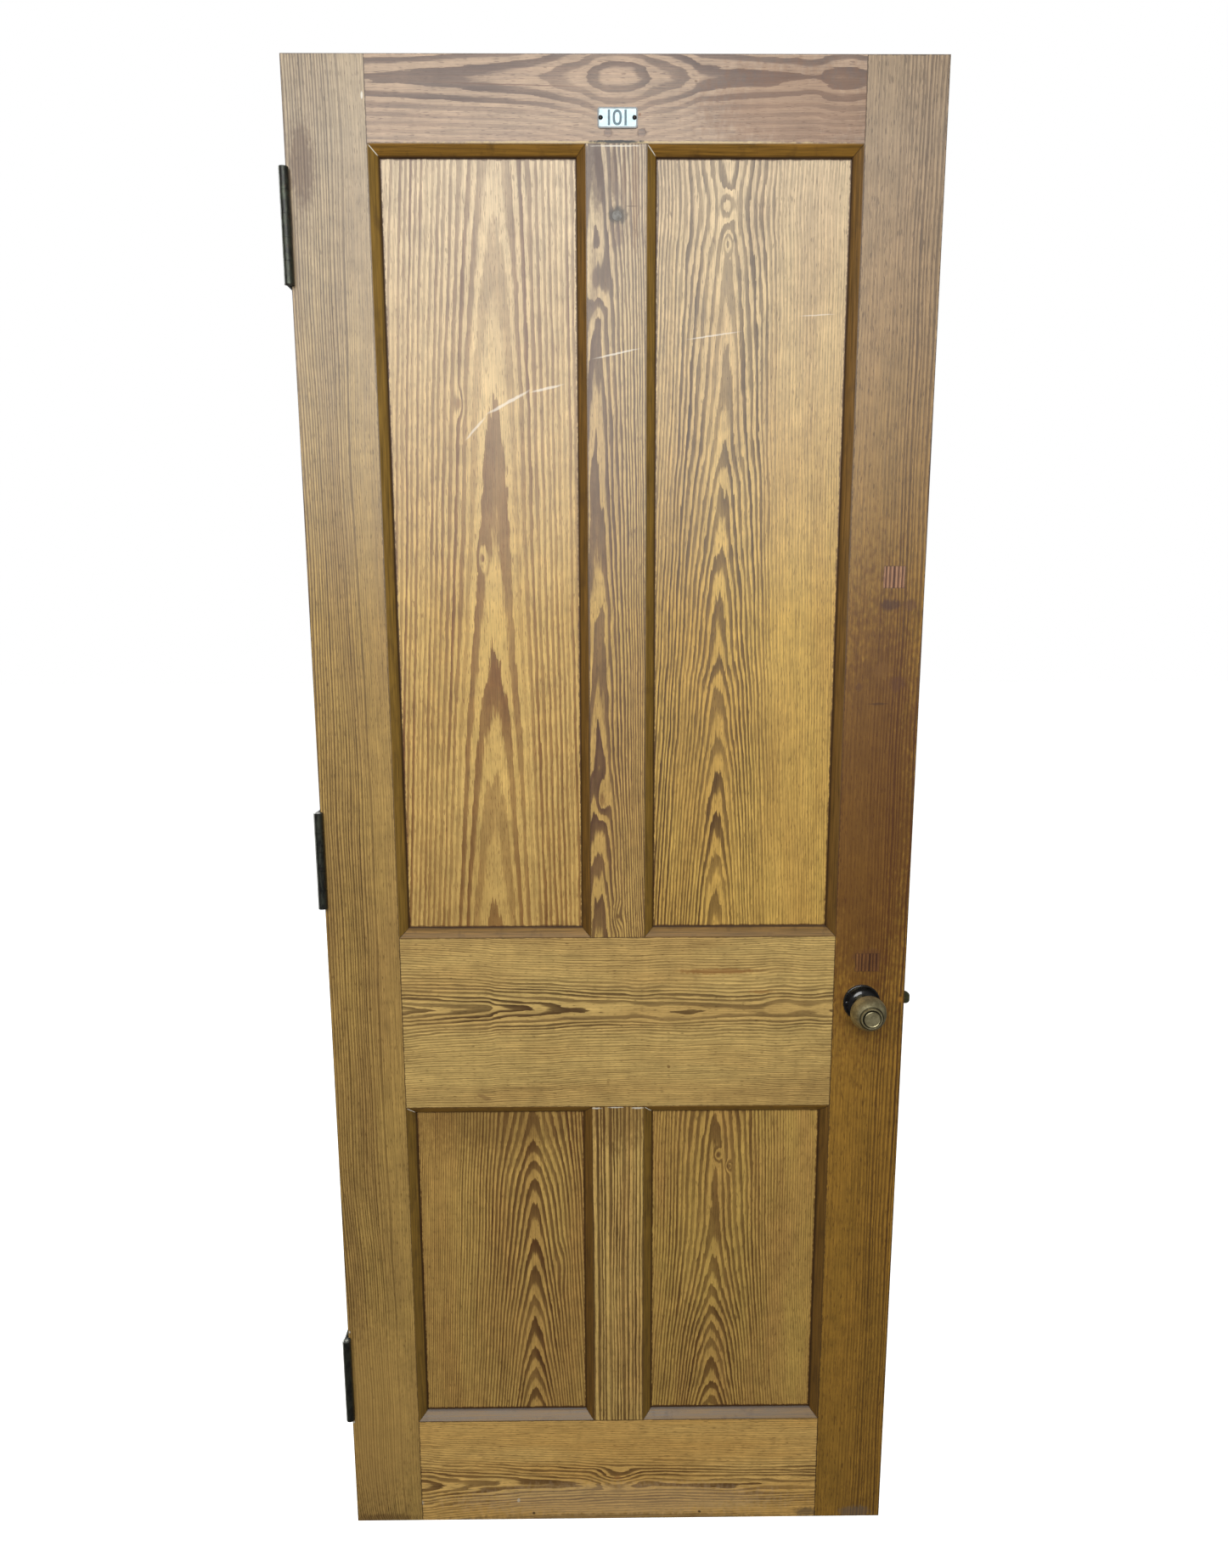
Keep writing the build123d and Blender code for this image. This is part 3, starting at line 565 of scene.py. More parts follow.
# %% Rails
boards["top_rail"] = dict(
    upright=False, seed=3, pith=1912.0, depth=10.0, width=13.0, tighten=41.0, wander=5.0,
    years=0.4, band=(22.0, 45.0, 1.0, 0.32),
    tips=[
        (-381, 3.1), (-285, 2.95), (-160, 2.5), (-90, 2.05), (-62, 1.5), (-36, 1.0), (-22, 0.5),
        (2, 0.2), (26, 0.5), (40, 1.0), (66, 1.5), (86, 2.05), (100, 2.5), (205, 2.95),
        (225, 3.05), (240, 2.8), (263, 2.6), (286, 2.75), (381, 3.4),
    ],
    early="#AA7C3E", early_b="#A37438", late="#522B12",
    marks=[
        (210, 1880, 140, 64, "#764A22", 0.4), (91, 1908, 3, 2, "#5E4028", 0.7),
        (-9.5, 1854, 6.6, 6.6, "#4A2A14", 0.85), (29.4, 1854, 6.8, 6.8, "#3C200E", 0.9),
        (27, 1873, 2, 2, "#7A4A20", 0.8), (-120, 1904, 120, 0.8, "#6A4A38", 0.7, 1.5),
        (0, 1843.5, 286, 2.2, "#DCC283", 0.55), (0, 1844.6, 40, 2.2, "#0C0804", 1.0),
    ],
)
boards["lock_rail"] = dict(
    upright=False, seed=4, pith=789.0, depth=7.0, width=5.5, tighten=34.0, wander=16.0,
    sway=1.5, flame=0.7, band=(24.0, 40.0, 1.0, 0.6),
    tips=[
        (-381, 0.4), (-290, 0.6), (-262, 0.95), (-235, 1.3), (-209, 1.55), (-172, 2.0),
        (-160, 2.5), (-100, 2.95), (-82, 3.2), (-65, 3.55), (14, 3.95), (19, 4.1), (70, 3.7),
        (122, 4.05), (150, 4.3), (190, 4.1), (215, 3.7), (250, 4.1), (280, 3.7), (381, 3.5),
    ],
    early="#CFAE66", early_b="#C5A15C", late="#452A0A",
    marks=[
        (132, 841, 70, 5, "#8A5A26", 0.6), (190, 812, 22, 3, "#8A5A26", 0.5),
        (68, 707, 3, 3, "#6A4A24", 0.7), (-180, 664, 14, 4, "#7A5A34", 0.5, 25),
    ],
)
boards["bottom_rail"] = dict(
    upright=False, seed=5, pith=58.0, depth=9.0, width=5.5, tighten=34.0, wander=14.0,
    sway=1.4, flame=0.8, years=0.6, band=(26.0, 42.0, 1.0, 0.5),
    tips=[
        (-381, 0), (-286, 0.2), (-262, 0.75), (-240, 1.2), (-200, 1.75), (-165, 2.2),
        (-130, 2.6), (-65, 2.95), (-40, 3.2), (0, 3.6), (286, 4.4), (381, 4.8),
    ],
    eyes=[(-3, 68, 46, 26, 2.2)],
    early="#E2B868", early_b="#D8AA5A", late="#573512",
    marks=[
        (0, 32, 300, 36, "#D2B48C", 0.3), (-2, 69, 6, 4, "#9A6A3A", 0.6),
        (-290, 30, 7, 5, white_paint, 0.7), (-146, 32, 3, 4, white_paint, 0.6),
        (-124, 10, 3, 3, "#2E2014", 0.8), (118, 10, 3, 3, "#2E2014", 0.8),
        (0, 2, 290, 8, "#5E4A30", 0.5), (274, 8, 20, 10, "#4A4238", 0.6),
    ],
)
plug = dict(upright=False, pith=1800.0, depth=30.0, width=4.0)
boards["rail_plugs"] = dict(
    plug, seed=14, tips=[(-20, 0), (40, 0.2)], early="#8A5E34", early_b="#7E5229", late="#694F3A"
)
print("Boards so far:", len(boards))

# %% [markdown]
# The upper muntin has three eyes and wide brown bands at its head, under a crack with old white paint
# in it. The lower one shows straight lines with paint crumbs at its head, and a painted shadow of the
# lock rail darkens that head.

# %% Muntins
boards["upper_muntin"] = dict(
    seed=6, pith=-24.0, depth=12.0, width=7.0, tighten=20.0, calm=0.6, wander=8.0,
    sway=0.8, flame=0.8, years=0.6, uneven=0.85, weakest=0.85,
    tips=[
        (863, 0), (1018, 2.0), (1155, 4.0), (1312, 5.0), (1500, 6.0), (1655, 7.0), (1730, 7.7),
        (1868, 9.0),
    ],
    eyes=[(-22, 1693, 16, 48, 1.4), (-20, 1074, 14, 44, 1.2), (0, 918, 12, 26, 1.3)],
    early="#C6A256", early_b="#BC9650", late="#553420",
    marks=[
        (0, 918, 3, 4, "#5A3A1C", 0.7), (-20, 1074, 4, 12, "#6E4824", 0.6),
        (0, 1614, 33, 1.4, white_scuff, 0.55, -12), (-22, 1806, 9, 52, "#4E3426", 0.65),
        (-3, 1812, 6, 40, "#543826", 0.65), (9, 1806, 3, 48, "#60402C", 0.55),
        (22, 1790, 6, 80, "#7A5638", 0.45), (0, 1840.2, 34, 1.1, white_paint, 0.75),
        (0.6, 1766, 14, 13, "#33291F", 0.85), (2, 1744, 7, 16, "#6A5244", 0.6),
        (0, 1790, 6, 16, "#6E5A4C", 0.5), (18, 1776, 9, 1.0, "#5A4232", 0.6),
        (-26, 1690, 6, 60, "#7A6250", 0.4),
    ],
)
boards["lower_muntin"] = dict(
    seed=7, pith=-96.0, depth=26.0, lean=0.008, width=5.0, wander=9.0, flame=0.7, years=1.3,
    uneven=0.85,
    tips=[(139, 0), (400, 0.8), (674, 1.4)],
    early="#D4B062", early_b="#C8A058", late="#482A0A",
    marks=[
        # The first mark is a painted shadow of the lock rail over the muntin's head
        (0, 650, 50, 90, "#543410", 0.4), (-29, 647, 9, 1.4, white_paint, 0.85),
        (-3, 648, 13, 1.1, white_paint, 0.8), (26, 647, 11, 1.6, white_paint, 0.85),
        (-24, 410, 3, 250, "#6A4A24", 0.4),
    ],
)
print("Boards so far:", len(boards))

# %% [markdown]
# The panels are wide boards sawn through the middle of a log, so arches rise along their middle, one
# ring to each. Dirt and painted shade lie broad and dark against their mouldings, a painted shadow of
# the lock rail darkens the top of the lower left panel, and something white has scuffed the upper two.

# %% Panels
# Round the panels the broad dark border against the mouldings is dirt and painted shade
panel = dict(years=0.3, dirt_and_shade=3.4, dirt_and_shade_colour="#4A260C")
boards["upper_left_panel"] = dict(
    panel, seed=8, pith=-179.0, depth=60.0, lean=0.0195, width=5.2, wander=7.0, shake=0.35,
    uneven=0.45,
    tips=[(880, 0.75), (927, 1.0), (1110, 2.0), (1268, 3.0), (1544, 4.0), (1804, 5.3), (1852, 5.6)],
    eyes=[(-190, 1559, 9, 26, 0.8), (-167, 1377, 9, 26, -0.8)],
    early="#D2AD60", early_b="#CAA458", late="#724516",
    marks=[
        (-179, 930, 130, 170, "#7A5A2C", 0.22), (-190, 1559, 5, 9, "#9A7450", 0.5),
        (-167, 1377, 4, 8, "#8A6240", 0.5), (-171, 1531, 22, 2.0, white_scuff, 0.5, -48),
        (-131, 1561, 36, 2.4, white_scuff, 0.6, -28), (-84, 1577, 24, 2.0, white_scuff, 0.55, -13),
        (-288, 1846, 4, 4, "#4A2A14", 0.8),
    ],
)
boards["upper_right_panel"] = dict(
    panel, seed=9, pith=124.0, depth=12.0, lean=0.004, width=6.0, tighten=42.0, calm=0.6,
    wander=8.0, flame=0.9, shake=0.4, uneven=0.65, fade=(170.0, 200.0, 1.0, 0.45),
    tips=[
        (880, 0), (945, 1), (999, 2), (1055, 3), (1112, 4), (1155, 5), (1218, 6), (1255, 7),
        (1337, 8), (1387, 9), (1462, 10), (1512, 11), (1630, 12), (1727, 13), (1777, 13.8),
        (1820, 13.2), (1852, 12.8),
    ],
    eyes=[(131, 1781, 12, 26, 1.5), (132, 1740, 9, 18, -1.3)],
    early="#D0A850", early_b="#C69C49", late="#4A2C0A",
    marks=[(116, 1637, 38, 1.3, white_scuff, 0.5, -8), (240, 1660, 25, 1.0, white_scuff, 0.45, -3)],
)
boards["lower_left_panel"] = dict(
    panel, seed=10, pith=-120.0, depth=12.0, lean=0.006, width=6.5, tighten=38.0, calm=0.5,
    wander=7.0, shake=0.3, band=(65.0, 110.0, 1.0, 0.75),
    tips=[
        (155, -0.7), (206, 1), (238, 2), (272, 3), (319, 4), (356, 5), (400, 6), (444, 7),
        (498, 8), (538, 9), (565, 10), (594, 11), (641, 12), (658, 12.3),
    ],
    eyes=[(-76, 406, 16, 50, -0.9)],
    early="#C49F52", early_b="#B9914A", late="#543210",
    marks=[
        # The first mark is a painted shadow of the lock rail over the top of the panel
        (-165, 655, 190, 110, "#543410", 0.36), (-42, 170, 2, 2, white_paint, 0.8),
        (-56, 620, 3, 90, "#7A3E1C", 0.4, -5),
    ],
)
boards["lower_right_panel"] = dict(
    panel, seed=11, pith=134.0, depth=11.0, width=6.5, tighten=38.0, calm=0.5, wander=8.0,
    flame=0.8, shake=0.35, band=(60.0, 110.0, 1.0, 0.5),
    tips=[
        (155, 0.3), (195, 2), (218, 3), (253, 4), (285, 5), (312, 6), (335, 7), (368, 8),
        (400, 8.7), (453, 9.5), (547, 10), (632, 11), (658, 11.4),
    ],
    eyes=[(138, 570, 9, 16, 1.2), (153, 553, 8, 14, 1.2)],
    early="#C49F4E", early_b="#BB924A", late="#54330F",
    marks=[(138, 570, 4, 5, "#5A3A1C", 0.6), (153, 553, 4, 4, "#5A3A1C", 0.6)],
)
print("Boards so far:", len(boards))

# %% [markdown]
# Wedges tighten the tenons, and show as end grain on the edges of the door. With them the table is
# complete, and every board gets its own pine.

# %% Wedges
wedge = dict(upright=False, pith=500.0, depth=200.0, width=3.0)
boards["hinge_stile_wedges"] = dict(
    wedge, seed=15, tips=[(-400, 0), (-300, 0.2)], early="#A07C4C", early_b="#987448", late="#5D4121"
)
boards["lock_stile_wedges"] = dict(
    wedge, seed=16, tips=[(300, 0), (400, 0.2)], early="#8E6A40", early_b="#866238", late="#51371A"
)
for name, board in boards.items():
    dress(pine(name, board), name)
print("Boards with their own grain:", len(boards))

# %% [markdown]
# The mouldings were planted on after the panels, and kept a browner stain than the boards. Four
# strips meet in mitres. One material serves a whole set: whichever side of its frame is nearer tells
# a strip's direction, so its grain runs with it, and where two sides are equally near lies the
# mitre. Each strip has its own tint as painted light and shade for the way it faces, and the strip
# under a panel, which looks up, is painted greyer as a painted reflection of the light above.


# %% Stained pine mouldings
def moulding_pine(node_name, facing_light_tints, seed, painted_mitre):
    """Brown stained pine strips. Tints: hex for the left, right, top and bottom strips, whose
    differences are painted light and shade.
    """
    material, tree = empty_material("stained_pine_" + node_name)
    mm = millimetres(tree)
    left, right, bottom, top = limits(node_name)
    x, z, x_in, z_in = insets(tree, mm, left, right, bottom, top)
    level = add(tree, "Math", z_in, x_in, operation="LESS_THAN")
    right_side = add(tree, "Math", x, (left + right) / 2, operation="GREATER_THAN")
    upper_side = add(tree, "Math", z, (bottom + top) / 2, operation="GREATER_THAN")
    # Painted light and shade: each strip gets its own tint for the way it faces the light
    side = add(tree, "MixRGB", right_side, linear(facing_light_tints[0]), linear(facing_light_tints[1]))
    rail = add(tree, "MixRGB", upper_side, linear(facing_light_tints[3]), linear(facing_light_tints[2]))
    brown = add(tree, "MixRGB", level, side, rail)
    upright_grain = noise(tree, mm, (1.8, 1.8, 60.0), seed, 3.0, 0.6)
    level_grain = noise(tree, mm, (60.0, 1.8, 1.8), seed, 3.0, 0.6)
    grain = add(tree, "MixRGB", level, upright_grain, level_grain)
    streaks = add(tree, "MapRange", grain, 0.3, 0.7, 0.55, 1.35)
    wood = add(tree, "MixRGB", 1.0, brown, streaks, blend_type="MULTIPLY")
    blotch = noise(tree, mm, (14.0, 14.0, 30.0), seed + 3, 3.0)
    blotch = add(tree, "MapRange", blotch, 0.55, 0.75, 0.0, 0.45)
    wood = add(tree, "MixRGB", blotch, wood, linear("#3E2810"))
    # Dirt and painted shade at the foot against the panel, and dirt at the head against the board
    nearer = add(tree, "Math", x_in, z_in, operation="MINIMUM")
    foot = add(tree, "MapRange", nearer, moulding_width - 2.4, moulding_width - 0.6, 0.0, 0.85)
    wood = add(tree, "MixRGB", foot, wood, linear("#2A1404"))
    head = add(tree, "MapRange", nearer, 0.2, 1.2, 0.45, 0.0)
    wood = add(tree, "MixRGB", head, wood, linear("#4A3010"))
    # The mitre's own line, and a hair of old white paint left in one of them
    off_mitre = add(tree, "Math", x_in, z_in, operation="SUBTRACT")
    off_mitre = add(tree, "Math", off_mitre, operation="ABSOLUTE")
    line = add(tree, "MapRange", off_mitre, 0.3, 1.0, 0.7, 0.0)
    wood = add(tree, "MixRGB", line, wood, linear("#382208"))
    if painted_mitre:
        far = from_centre(tree, mm, painted_mitre, (7.0, endless, 7.0))
        near = add(tree, "MapRange", far, 0.7, 1.0, 1.0, 0.0)
        hair = add(tree, "MapRange", off_mitre, 0.5, 1.0, 1.0, 0.0)
        hair = add(tree, "Math", near, hair, operation="MULTIPLY")
        wood = add(tree, "MixRGB", hair, wood, linear(white_paint))
    relief = add(tree, "Bump", sockets={"Strength": 0.4, "Distance": 0.0002, "Height": grain})
    # Stain under old varnish: deeper in colour than the boards and a little duller
    sockets = {
        "Base Color": wood,
        "Roughness": add(tree, "MapRange", grain, 0.3, 0.7, 0.38, 0.52),
        "IOR": 1.55,
        "Normal": relief,
    }
    add(tree, "OutputMaterial", add(tree, "BsdfPrincipled", sockets=sockets))
    return material


for number, corner in enumerate(corner_names):
    left, _, _, top = limits(corner + "_front_moulding", -moulding_width / 2)
    # The bottom strips look up, so their greyer tint is a painted reflection of the light above
    upward_reflection_tint = "#80602C" if corner.startswith("upper") else "#7E6238"
    facing_light_tints = ("#7E6022", "#6C4C18", "#8A6422", upward_reflection_tint)
    for face, painted in (("front", (left, 0.0, top)), ("back", None)):
        name = f"{corner}_{face}_moulding"
        dress(moulding_pine(name, facing_light_tints, 20 + number, painted), name)
print("Sets of mouldings:", 2 * len(corner_names))

# %% [markdown]
# The knobs were turned on a lathe, which left fine rings round their axis: a wave of the distance
# from it. Dirt has settled in the two grooves of the face. The noise that mixes olive-brown tarnish
# into the brass also makes it duller.

# %% Aged brass
left, right, bottom, top = limits("front_knob")
knob_axis = ((left + right) / 2, (bottom + top) / 2)
ramp_reach = 24.0
lathe_waves = 9.0


def aged_brass(name, bright, tarnish, share):
    """Turned brass, with tarnish over the given share of it."""
    material, tree = empty_material(name)
    mm = millimetres(tree)
    centred = add(tree, "Mapping", mm, (-knob_axis[0], 0.0, -knob_axis[1]), None, (1.0, 0.0, 1.0))
    radius = add(tree, "VectorMath", centred, operation="LENGTH", out="Value")
    turned = add(tree, "Math", radius, lathe_waves, operation="MULTIPLY")
    turned = add(tree, "Math", turned, operation="SINE")
    cloud = noise(tree, mm, (7.0, 7.0, 7.0), 31, 5.0, 0.65)
    spots = noise(tree, mm, (1.6, 1.6, 1.6), 32, 3.0)
    dull = add(tree, "MapRange", cloud, 0.62 - share, 0.82 - share, 0.0, 1.0)
    shade = add(tree, "MixRGB", dull, linear(bright), linear(tarnish))
    specks = add(tree, "MapRange", spots, 0.62, 0.76, 0.0, 0.45)
    shade = add(tree, "MixRGB", specks, shade, linear("#4A4430"))
    # Grooves of the face at 11 and 15 mm from the axis
    stops = [
        (0.0, 0.9), (0.41, 1.0), (0.44, 0.12), (0.475, 0.12), (0.5, 1.0), (0.58, 1.0),
        (0.605, 0.15), (0.64, 0.2), (0.67, 0.85),
    ]
    grooves = add(tree, "Math", radius, 1 / ramp_reach, operation="MULTIPLY")
    grooves = add(tree, "ValToRGB", grooves, stops=stops)
    shade = add(tree, "MixRGB", 1.0, shade, grooves, blend_type="MULTIPLY")
    relief = add(tree, "Math", turned, 0.3, spots, operation="MULTIPLY_ADD")
    relief = add(tree, "Bump", sockets={"Strength": 0.2, "Distance": 0.0001, "Height": relief})
    # Half tarnished: broad soft reflections, less than fully metallic
    sockets = {
        "Base Color": shade,
        "Metallic": 0.85,
        "Roughness": add(tree, "MapRange", cloud, 0.3, 0.7, 0.38, 0.54),
        "Normal": relief,
    }
    add(tree, "OutputMaterial", add(tree, "BsdfPrincipled", sockets=sockets))
    return material


dress(aged_brass("aged_brass", "#C6BC94", "#9C9270", 0.24), "front_knob", "back_knob")
latch_brass = aged_brass("tarnished_latch_brass", "#A89A68", "#5E6048", 0.34)
dress(latch_brass, "latch_bolt", "latch_forend")
print("Knob axis at x and z:", [round(float(v), 1) for v in knob_axis])

# %% [markdown]
# Black enamel covers the roses and their screws. It is glass-like, so it mirrors the studio sharply,
# but wiping has left fine smears that show as changes of roughness. The same glass in white serves the
# number plate, with a dark band round its edge that is worn bare metal and painted shade.

# %% Fired enamel
plate_corner = 3.0


def fired_enamel(name, colour, smear, rim=None):
    """Fired enamel with smears. A rim is a node with a dark band round its edges, worn to metal and
    painted shade, the band's width in mm and a hex.
    """
    material, tree = empty_material(name)
    mm = millimetres(tree)
    cloud = noise(tree, mm, (9.0, 9.0, 5.0), 41, 3.0)
    smears = add(tree, "MapRange", cloud, 0.35, 0.65, 0.0, 1.0)
    shade = add(tree, "MixRGB", smears, linear(colour), linear(smear))
    if rim:
        rim_node, rim_width, bare_metal_and_shade = rim
        past = []
        for inwards in insets(tree, mm, *limits(rim_node))[2:]:
            beyond = add(tree, "Math", plate_corner, inwards, operation="SUBTRACT")
            past.append(add(tree, "Math", beyond, 0.0, operation="MAXIMUM"))
        # Distance inwards from a rounded outline: the corner's radius less that from its centre
        past = add(tree, "CombineXYZ", past[0], 0.0, past[1])
        past = add(tree, "VectorMath", past, operation="LENGTH", out="Value")
        near = add(tree, "Math", plate_corner, past, operation="SUBTRACT")
        near = add(tree, "Math", cloud, -0.6, near, operation="MULTIPLY_ADD")
        # The dark band round the edge is enamel worn to metal, widened by painted shade
        bare_and_shade = add(tree, "MapRange", near, rim_width - 0.5, rim_width, 1.0, 0.0)
        shade = add(tree, "MixRGB", bare_and_shade, shade, linear(bare_metal_and_shade))
    # A coat of clear glass over coloured glass: sharp highlights on a deep even colour
    sockets = {
        "Base Color": shade,
        "Roughness": add(tree, "MapRange", cloud, 0.3, 0.7, 0.1, 0.28),
        "Coat Weight": 0.6,
        "Coat Roughness": 0.08,
    }
    add(tree, "OutputMaterial", add(tree, "BsdfPrincipled", sockets=sockets))
    return material


black_enamel = fired_enamel("black_enamel", "#08080A", "#121216")
dress(black_enamel, "front_rose", "back_rose", "rose_screws")
# The plate's dark edge band: worn metal and painted shade
worn_and_shaded_rim = ("number_plate", 1.8, "#1C2226")
dress(fired_enamel("white_enamel", "#C2E0E8", "#ACD0DB", worn_and_shaded_rim), "number_plate")
print("Enamel on the roses and the number plate")

# %% [markdown]
# The hinges are old blacked steel. Rust and wear take the black off in clouds, down to grey-green
# metal, and a painted highlight, pale as bright steel, runs down the outer side of each barrel. The
# latch has the same steel without the black.


# %% Steel
def blacked_steel(name, black, worn, wear, painted_highlight_x=None):
    """Steel with a black coat worn off over the given share, and a painted highlight below an x in mm.
    """
    material, tree = empty_material(name)
    mm = millimetres(tree)
    cloud = noise(tree, mm, (6.0, 6.0, 16.0), 51, 5.0, 0.7)
    bare_and_shade = add(tree, "MapRange", cloud, 0.66 - wear, 0.86 - wear, 0.0, 1.0)
    shade = add(tree, "MixRGB", bare_and_shade, linear(black), linear(worn))
    if painted_highlight_x:
        # Painted highlight: where x is below the given value, on the barrel's outer side, the steel is
        # painted pale for the light's reflection
        x = add(tree, "SeparateXYZ", mm, out="X")
        x = add(tree, "Math", cloud, 1.2, x, operation="MULTIPLY_ADD")
        bright = add(tree, "MapRange", x, painted_highlight_x, painted_highlight_x + 0.8, 0.9, 0.0)
        shade = add(tree, "MixRGB", bright, shade, linear("#DCE0DC"))
    rust = noise(tree, mm, (3.0, 3.0, 4.0), 52, 4.0)
    rusty = add(tree, "MapRange", rust, 0.6, 0.7, 0.0, 0.6)
    shade = add(tree, "MixRGB", rusty, shade, linear("#4A3524"))
    relief = add(tree, "Bump", sockets={"Strength": 0.4, "Distance": 0.0002, "Height": rust})
    # The black is dull and hardly metallic, and where it has gone the steel shines through
    sockets = {
        "Base Color": shade,
        "Metallic": add(tree, "MapRange", bare_and_shade, 0.0, 1.0, 0.35, 0.95),
        "Roughness": add(tree, "MapRange", cloud, 0.3, 0.7, 0.34, 0.52),
        "Normal": relief,
    }
    add(tree, "OutputMaterial", add(tree, "BsdfPrincipled", sockets=sockets))
    return material


barrel_edge = float(limits("top_hinge_door_leaf")[0])
# The leaves get a painted highlight on the outer 2.4 mm of each barrel
hinge_steel = blacked_steel("blacked_steel_leaf", "#1C1D1A", "#4E5248", 0.22, barrel_edge + 2.4)
pin_steel = blacked_steel("blacked_steel_pin", "#34352F", "#8A8C84", 0.34)
for hinge in ("bottom_hinge_", "middle_hinge_", "top_hinge_"):
    dress(pin_steel, hinge + "pin")
    dress(hinge_steel, hinge + "door_leaf", hinge + "frame_leaf", hinge + "screws")
dress(blacked_steel("blacked_plate_screws", "#0C0C0D", "#2A2A2C", 0.1), "number_plate_screws")
latch_steel = blacked_steel("grey_latch_steel", "#6E6E6A", "#9A9A96", 0.3)
dress(latch_steel, "knob_spindle", "knob_screws", "follower")
dress(latch_steel, "latch_case", "latch_case_cover", "forend_screws")
print("Steel finishes: hinges, plate screws and latch")

# %% [markdown]
# Two things are swept: a section is carried along a line. The points stand in an array with a row for
# each place on the line and a column for each place on the section, and four neighbours make a face.


# %% Sweeps
def sweep(name, points, closed=False):
    """A mesh from rows of section points in millimetres, with caps at its ends if it is open."""
    rows, columns = points.shape[:2]
    i, j = np.meshgrid(np.arange(rows if closed else rows - 1), np.arange(columns), indexing="ij")
    here, there, beside = i * columns, (i + 1) % rows * columns, (j + 1) % columns
    quads = np.stack([here + j, here + beside, there + beside, there + j], -1).reshape(-1, 4).tolist()
    if not closed:
        last = (rows - 1) * columns
        quads += [list(range(columns - 1, -1, -1)), list(range(last, last + columns))]
    mesh = bpy.data.meshes.new(name)
    mesh.from_pydata((points.reshape(-1, 3) / 1000).tolist(), [], quads)
    piece = bpy.data.objects.new(name, mesh)
    scene.collection.objects.link(piece)
    return piece


print("Sweeps are in metres, from millimetres")

# %% [markdown]
# Inside the lock stile a coil spring pushes the bolt out. A rigid copy of it would be run through by
# the bolt when a knob is turned. Here the spring is made as a mesh of its own, fixed to the door: a
# round wire carried along a helix whose turns are evenly spaced.

# %% Latch spring
spring_low, spring_high = box_mm("latch_spring")
spring_length = spring_high[0] - spring_low[0]
spring_middle = (spring_low + spring_high) / 2
wire = 0.45
turns = 5
coil_radius = (spring_high[1] - spring_low[1]) / 2 - wire
pitch = (spring_length - 2 * wire) / turns
# Centre line (pitch * turns * t, R cos s, R sin s), with s = 2 pi * turns * t
t = np.linspace(0.0, 1.0, 24 * turns + 1)
s = 2 * np.pi * turns * t
outward = np.stack([np.zeros_like(t), np.cos(s), np.sin(s)], 1)
onward = np.stack([np.full_like(t, pitch / (2 * np.pi * coil_radius)), -np.sin(s), np.cos(s)], 1)
onward /= np.linalg.norm(onward, axis=1, keepdims=True)
line = coil_radius * outward + (0.0, spring_middle[1], spring_middle[2])
line[:, 0] += spring_low[0] + wire + pitch * turns * t
# Section: a circle of the wire's radius, at angle a from outward, in the plane across the line
a = np.linspace(0.0, 2 * np.pi, 8, endpoint=False)[None, :, None]
circle = outward[:, None] * np.cos(a) + np.cross(onward, outward)[:, None] * np.sin(a)
spring = sweep("coil_spring", line[:, None] + wire * circle)
spring.data.materials.append(latch_steel)
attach(spring, "door")
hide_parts("latch_spring")
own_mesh(spring)

# %% [markdown]
# The number plate is white enamel on a thin sheet. The plain number on it is painted in slate blue,
# thick enough to stand up, so each digit is a thin mesh: a half-round stroke swept along a line, which
# is straight for a one and a squared oval for a zero.

# %% Painted number
plate_low, plate_high = box_mm("number_plate")
plate_width = plate_high[0] - plate_low[0]
plate_middle = (plate_low[2] + plate_high[2]) / 2
digit_height = 0.74 * (plate_high[2] - plate_low[2])
stroke_width = 0.058 * plate_width
stroke_rise = 0.16
stroke_sink = 0.02


def brush_stroke(name, line, closed):
    """A half-round stroke along a line of x and z in millimetres.

    Point (i, j) = line_i + side_i * half * cos(a_j), raised by rise * sin(a_j), for a from pi to 0.
    """
    ahead = np.roll(line, -1, 0) - np.roll(line, 1, 0) if closed else np.gradient(line, axis=0)
    ahead /= np.linalg.norm(ahead, axis=1, keepdims=True)
    side = np.stack([ahead[:, 1], -ahead[:, 0]], 1)
    angle = np.linspace(np.pi, 0.0, 9)
    flat = line[:, None, :] + side[:, None, :] * (stroke_width / 2 * np.cos(angle))[None, :, None]
    raised = np.broadcast_to(plate_low[1] + stroke_sink - stroke_rise * np.sin(angle), flat.shape[:2])
    return sweep(name, np.stack([flat[:, :, 0], raised, flat[:, :, 1]], -1), closed)


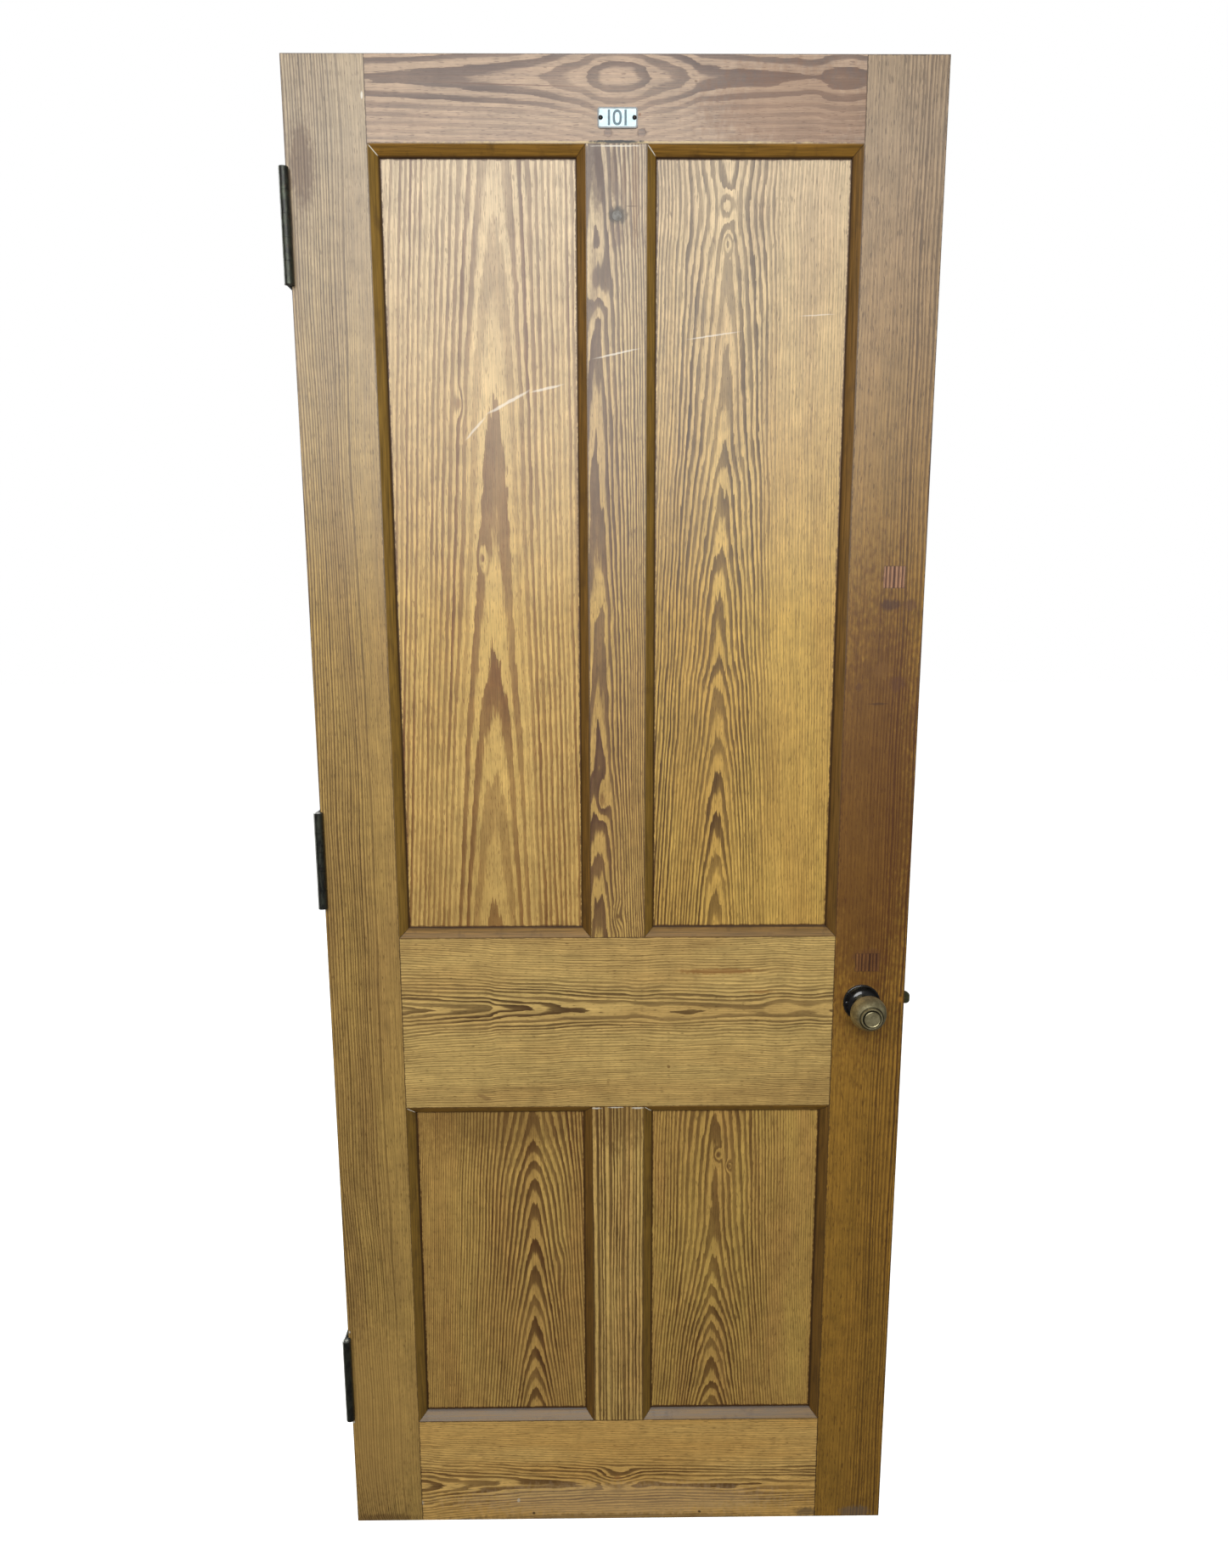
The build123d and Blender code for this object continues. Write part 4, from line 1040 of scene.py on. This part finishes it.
# Brushed enamel paint: thin in places, so it lets the white show a little
paint, tree = empty_material("slate_blue_enamel")
thin = noise(tree, millimetres(tree), (2.5, 2.5, 4.0), 61, 3.0)
thin = add(tree, "MapRange", thin, 0.35, 0.65, 0.0, 1.0)
shade = add(tree, "MixRGB", thin, linear("#1E4254"), linear("#34606F"))
sockets = {"Base Color": shade, "Roughness": 0.25}
add(tree, "OutputMaterial", add(tree, "BsdfPrincipled", sockets=sockets))
reach = (digit_height - stroke_width) / 2
bar_end = reach + stroke_width / 2
bar = np.stack([np.zeros(12), np.linspace(-bar_end, bar_end, 12)], 1)
turn = np.linspace(0.0, 2 * np.pi, 72, endpoint=False)
oval = np.stack([np.cos(turn), np.sin(turn)], 1)
oval = np.sign(oval) * np.abs(oval) ** (2 / 2.5)
oval *= (0.114 * plate_width - stroke_width / 2, reach)
# Name, line, place as a share of the plate's width, and whether the line is closed
digits = (
    ("digit_one_left", bar, 0.284, False),
    ("digit_zero", oval, 0.492, True),
    ("digit_one_right", bar, 0.70, False),
)
for name, line, share, closed in digits:
    place = (plate_low[0] + share * plate_width, plate_middle)
    digit = brush_stroke(name, line + place, closed)
    digit.data.materials.append(paint)
    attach(digit, "door")
print("Digits of the plain number: 1, 0, 1")

# %% [markdown]
# A round hole in the upper muntin is filled with grey putty, which has shrunk and cracked a little.

# %% Grey putty
putty, tree = empty_material("grey_putty")
mm = millimetres(tree)
grit = noise(tree, mm, (1.2, 1.2, 1.2), 71, 3.0)
cloud = noise(tree, mm, (5.0, 5.0, 5.0), 72, 3.0)
cloud = add(tree, "MapRange", cloud, 0.35, 0.65, 0.0, 1.0)
shade = add(tree, "MixRGB", cloud, linear("#8E8C88"), linear("#6E6A64"))
pits = add(tree, "MapRange", grit, 0.58, 0.7, 0.0, 0.7)
shade = add(tree, "MixRGB", pits, shade, linear("#4A423A"))
relief = add(tree, "Bump", sockets={"Strength": 0.5, "Distance": 0.0003, "Height": grit})
# Chalky and rough, without a shine
sockets = {"Base Color": shade, "Roughness": 0.75, "Normal": relief}
add(tree, "OutputMaterial", add(tree, "BsdfPrincipled", sockets=sockets))
dress(putty, "muntin_plug")
print("Putty in the muntin's hole")
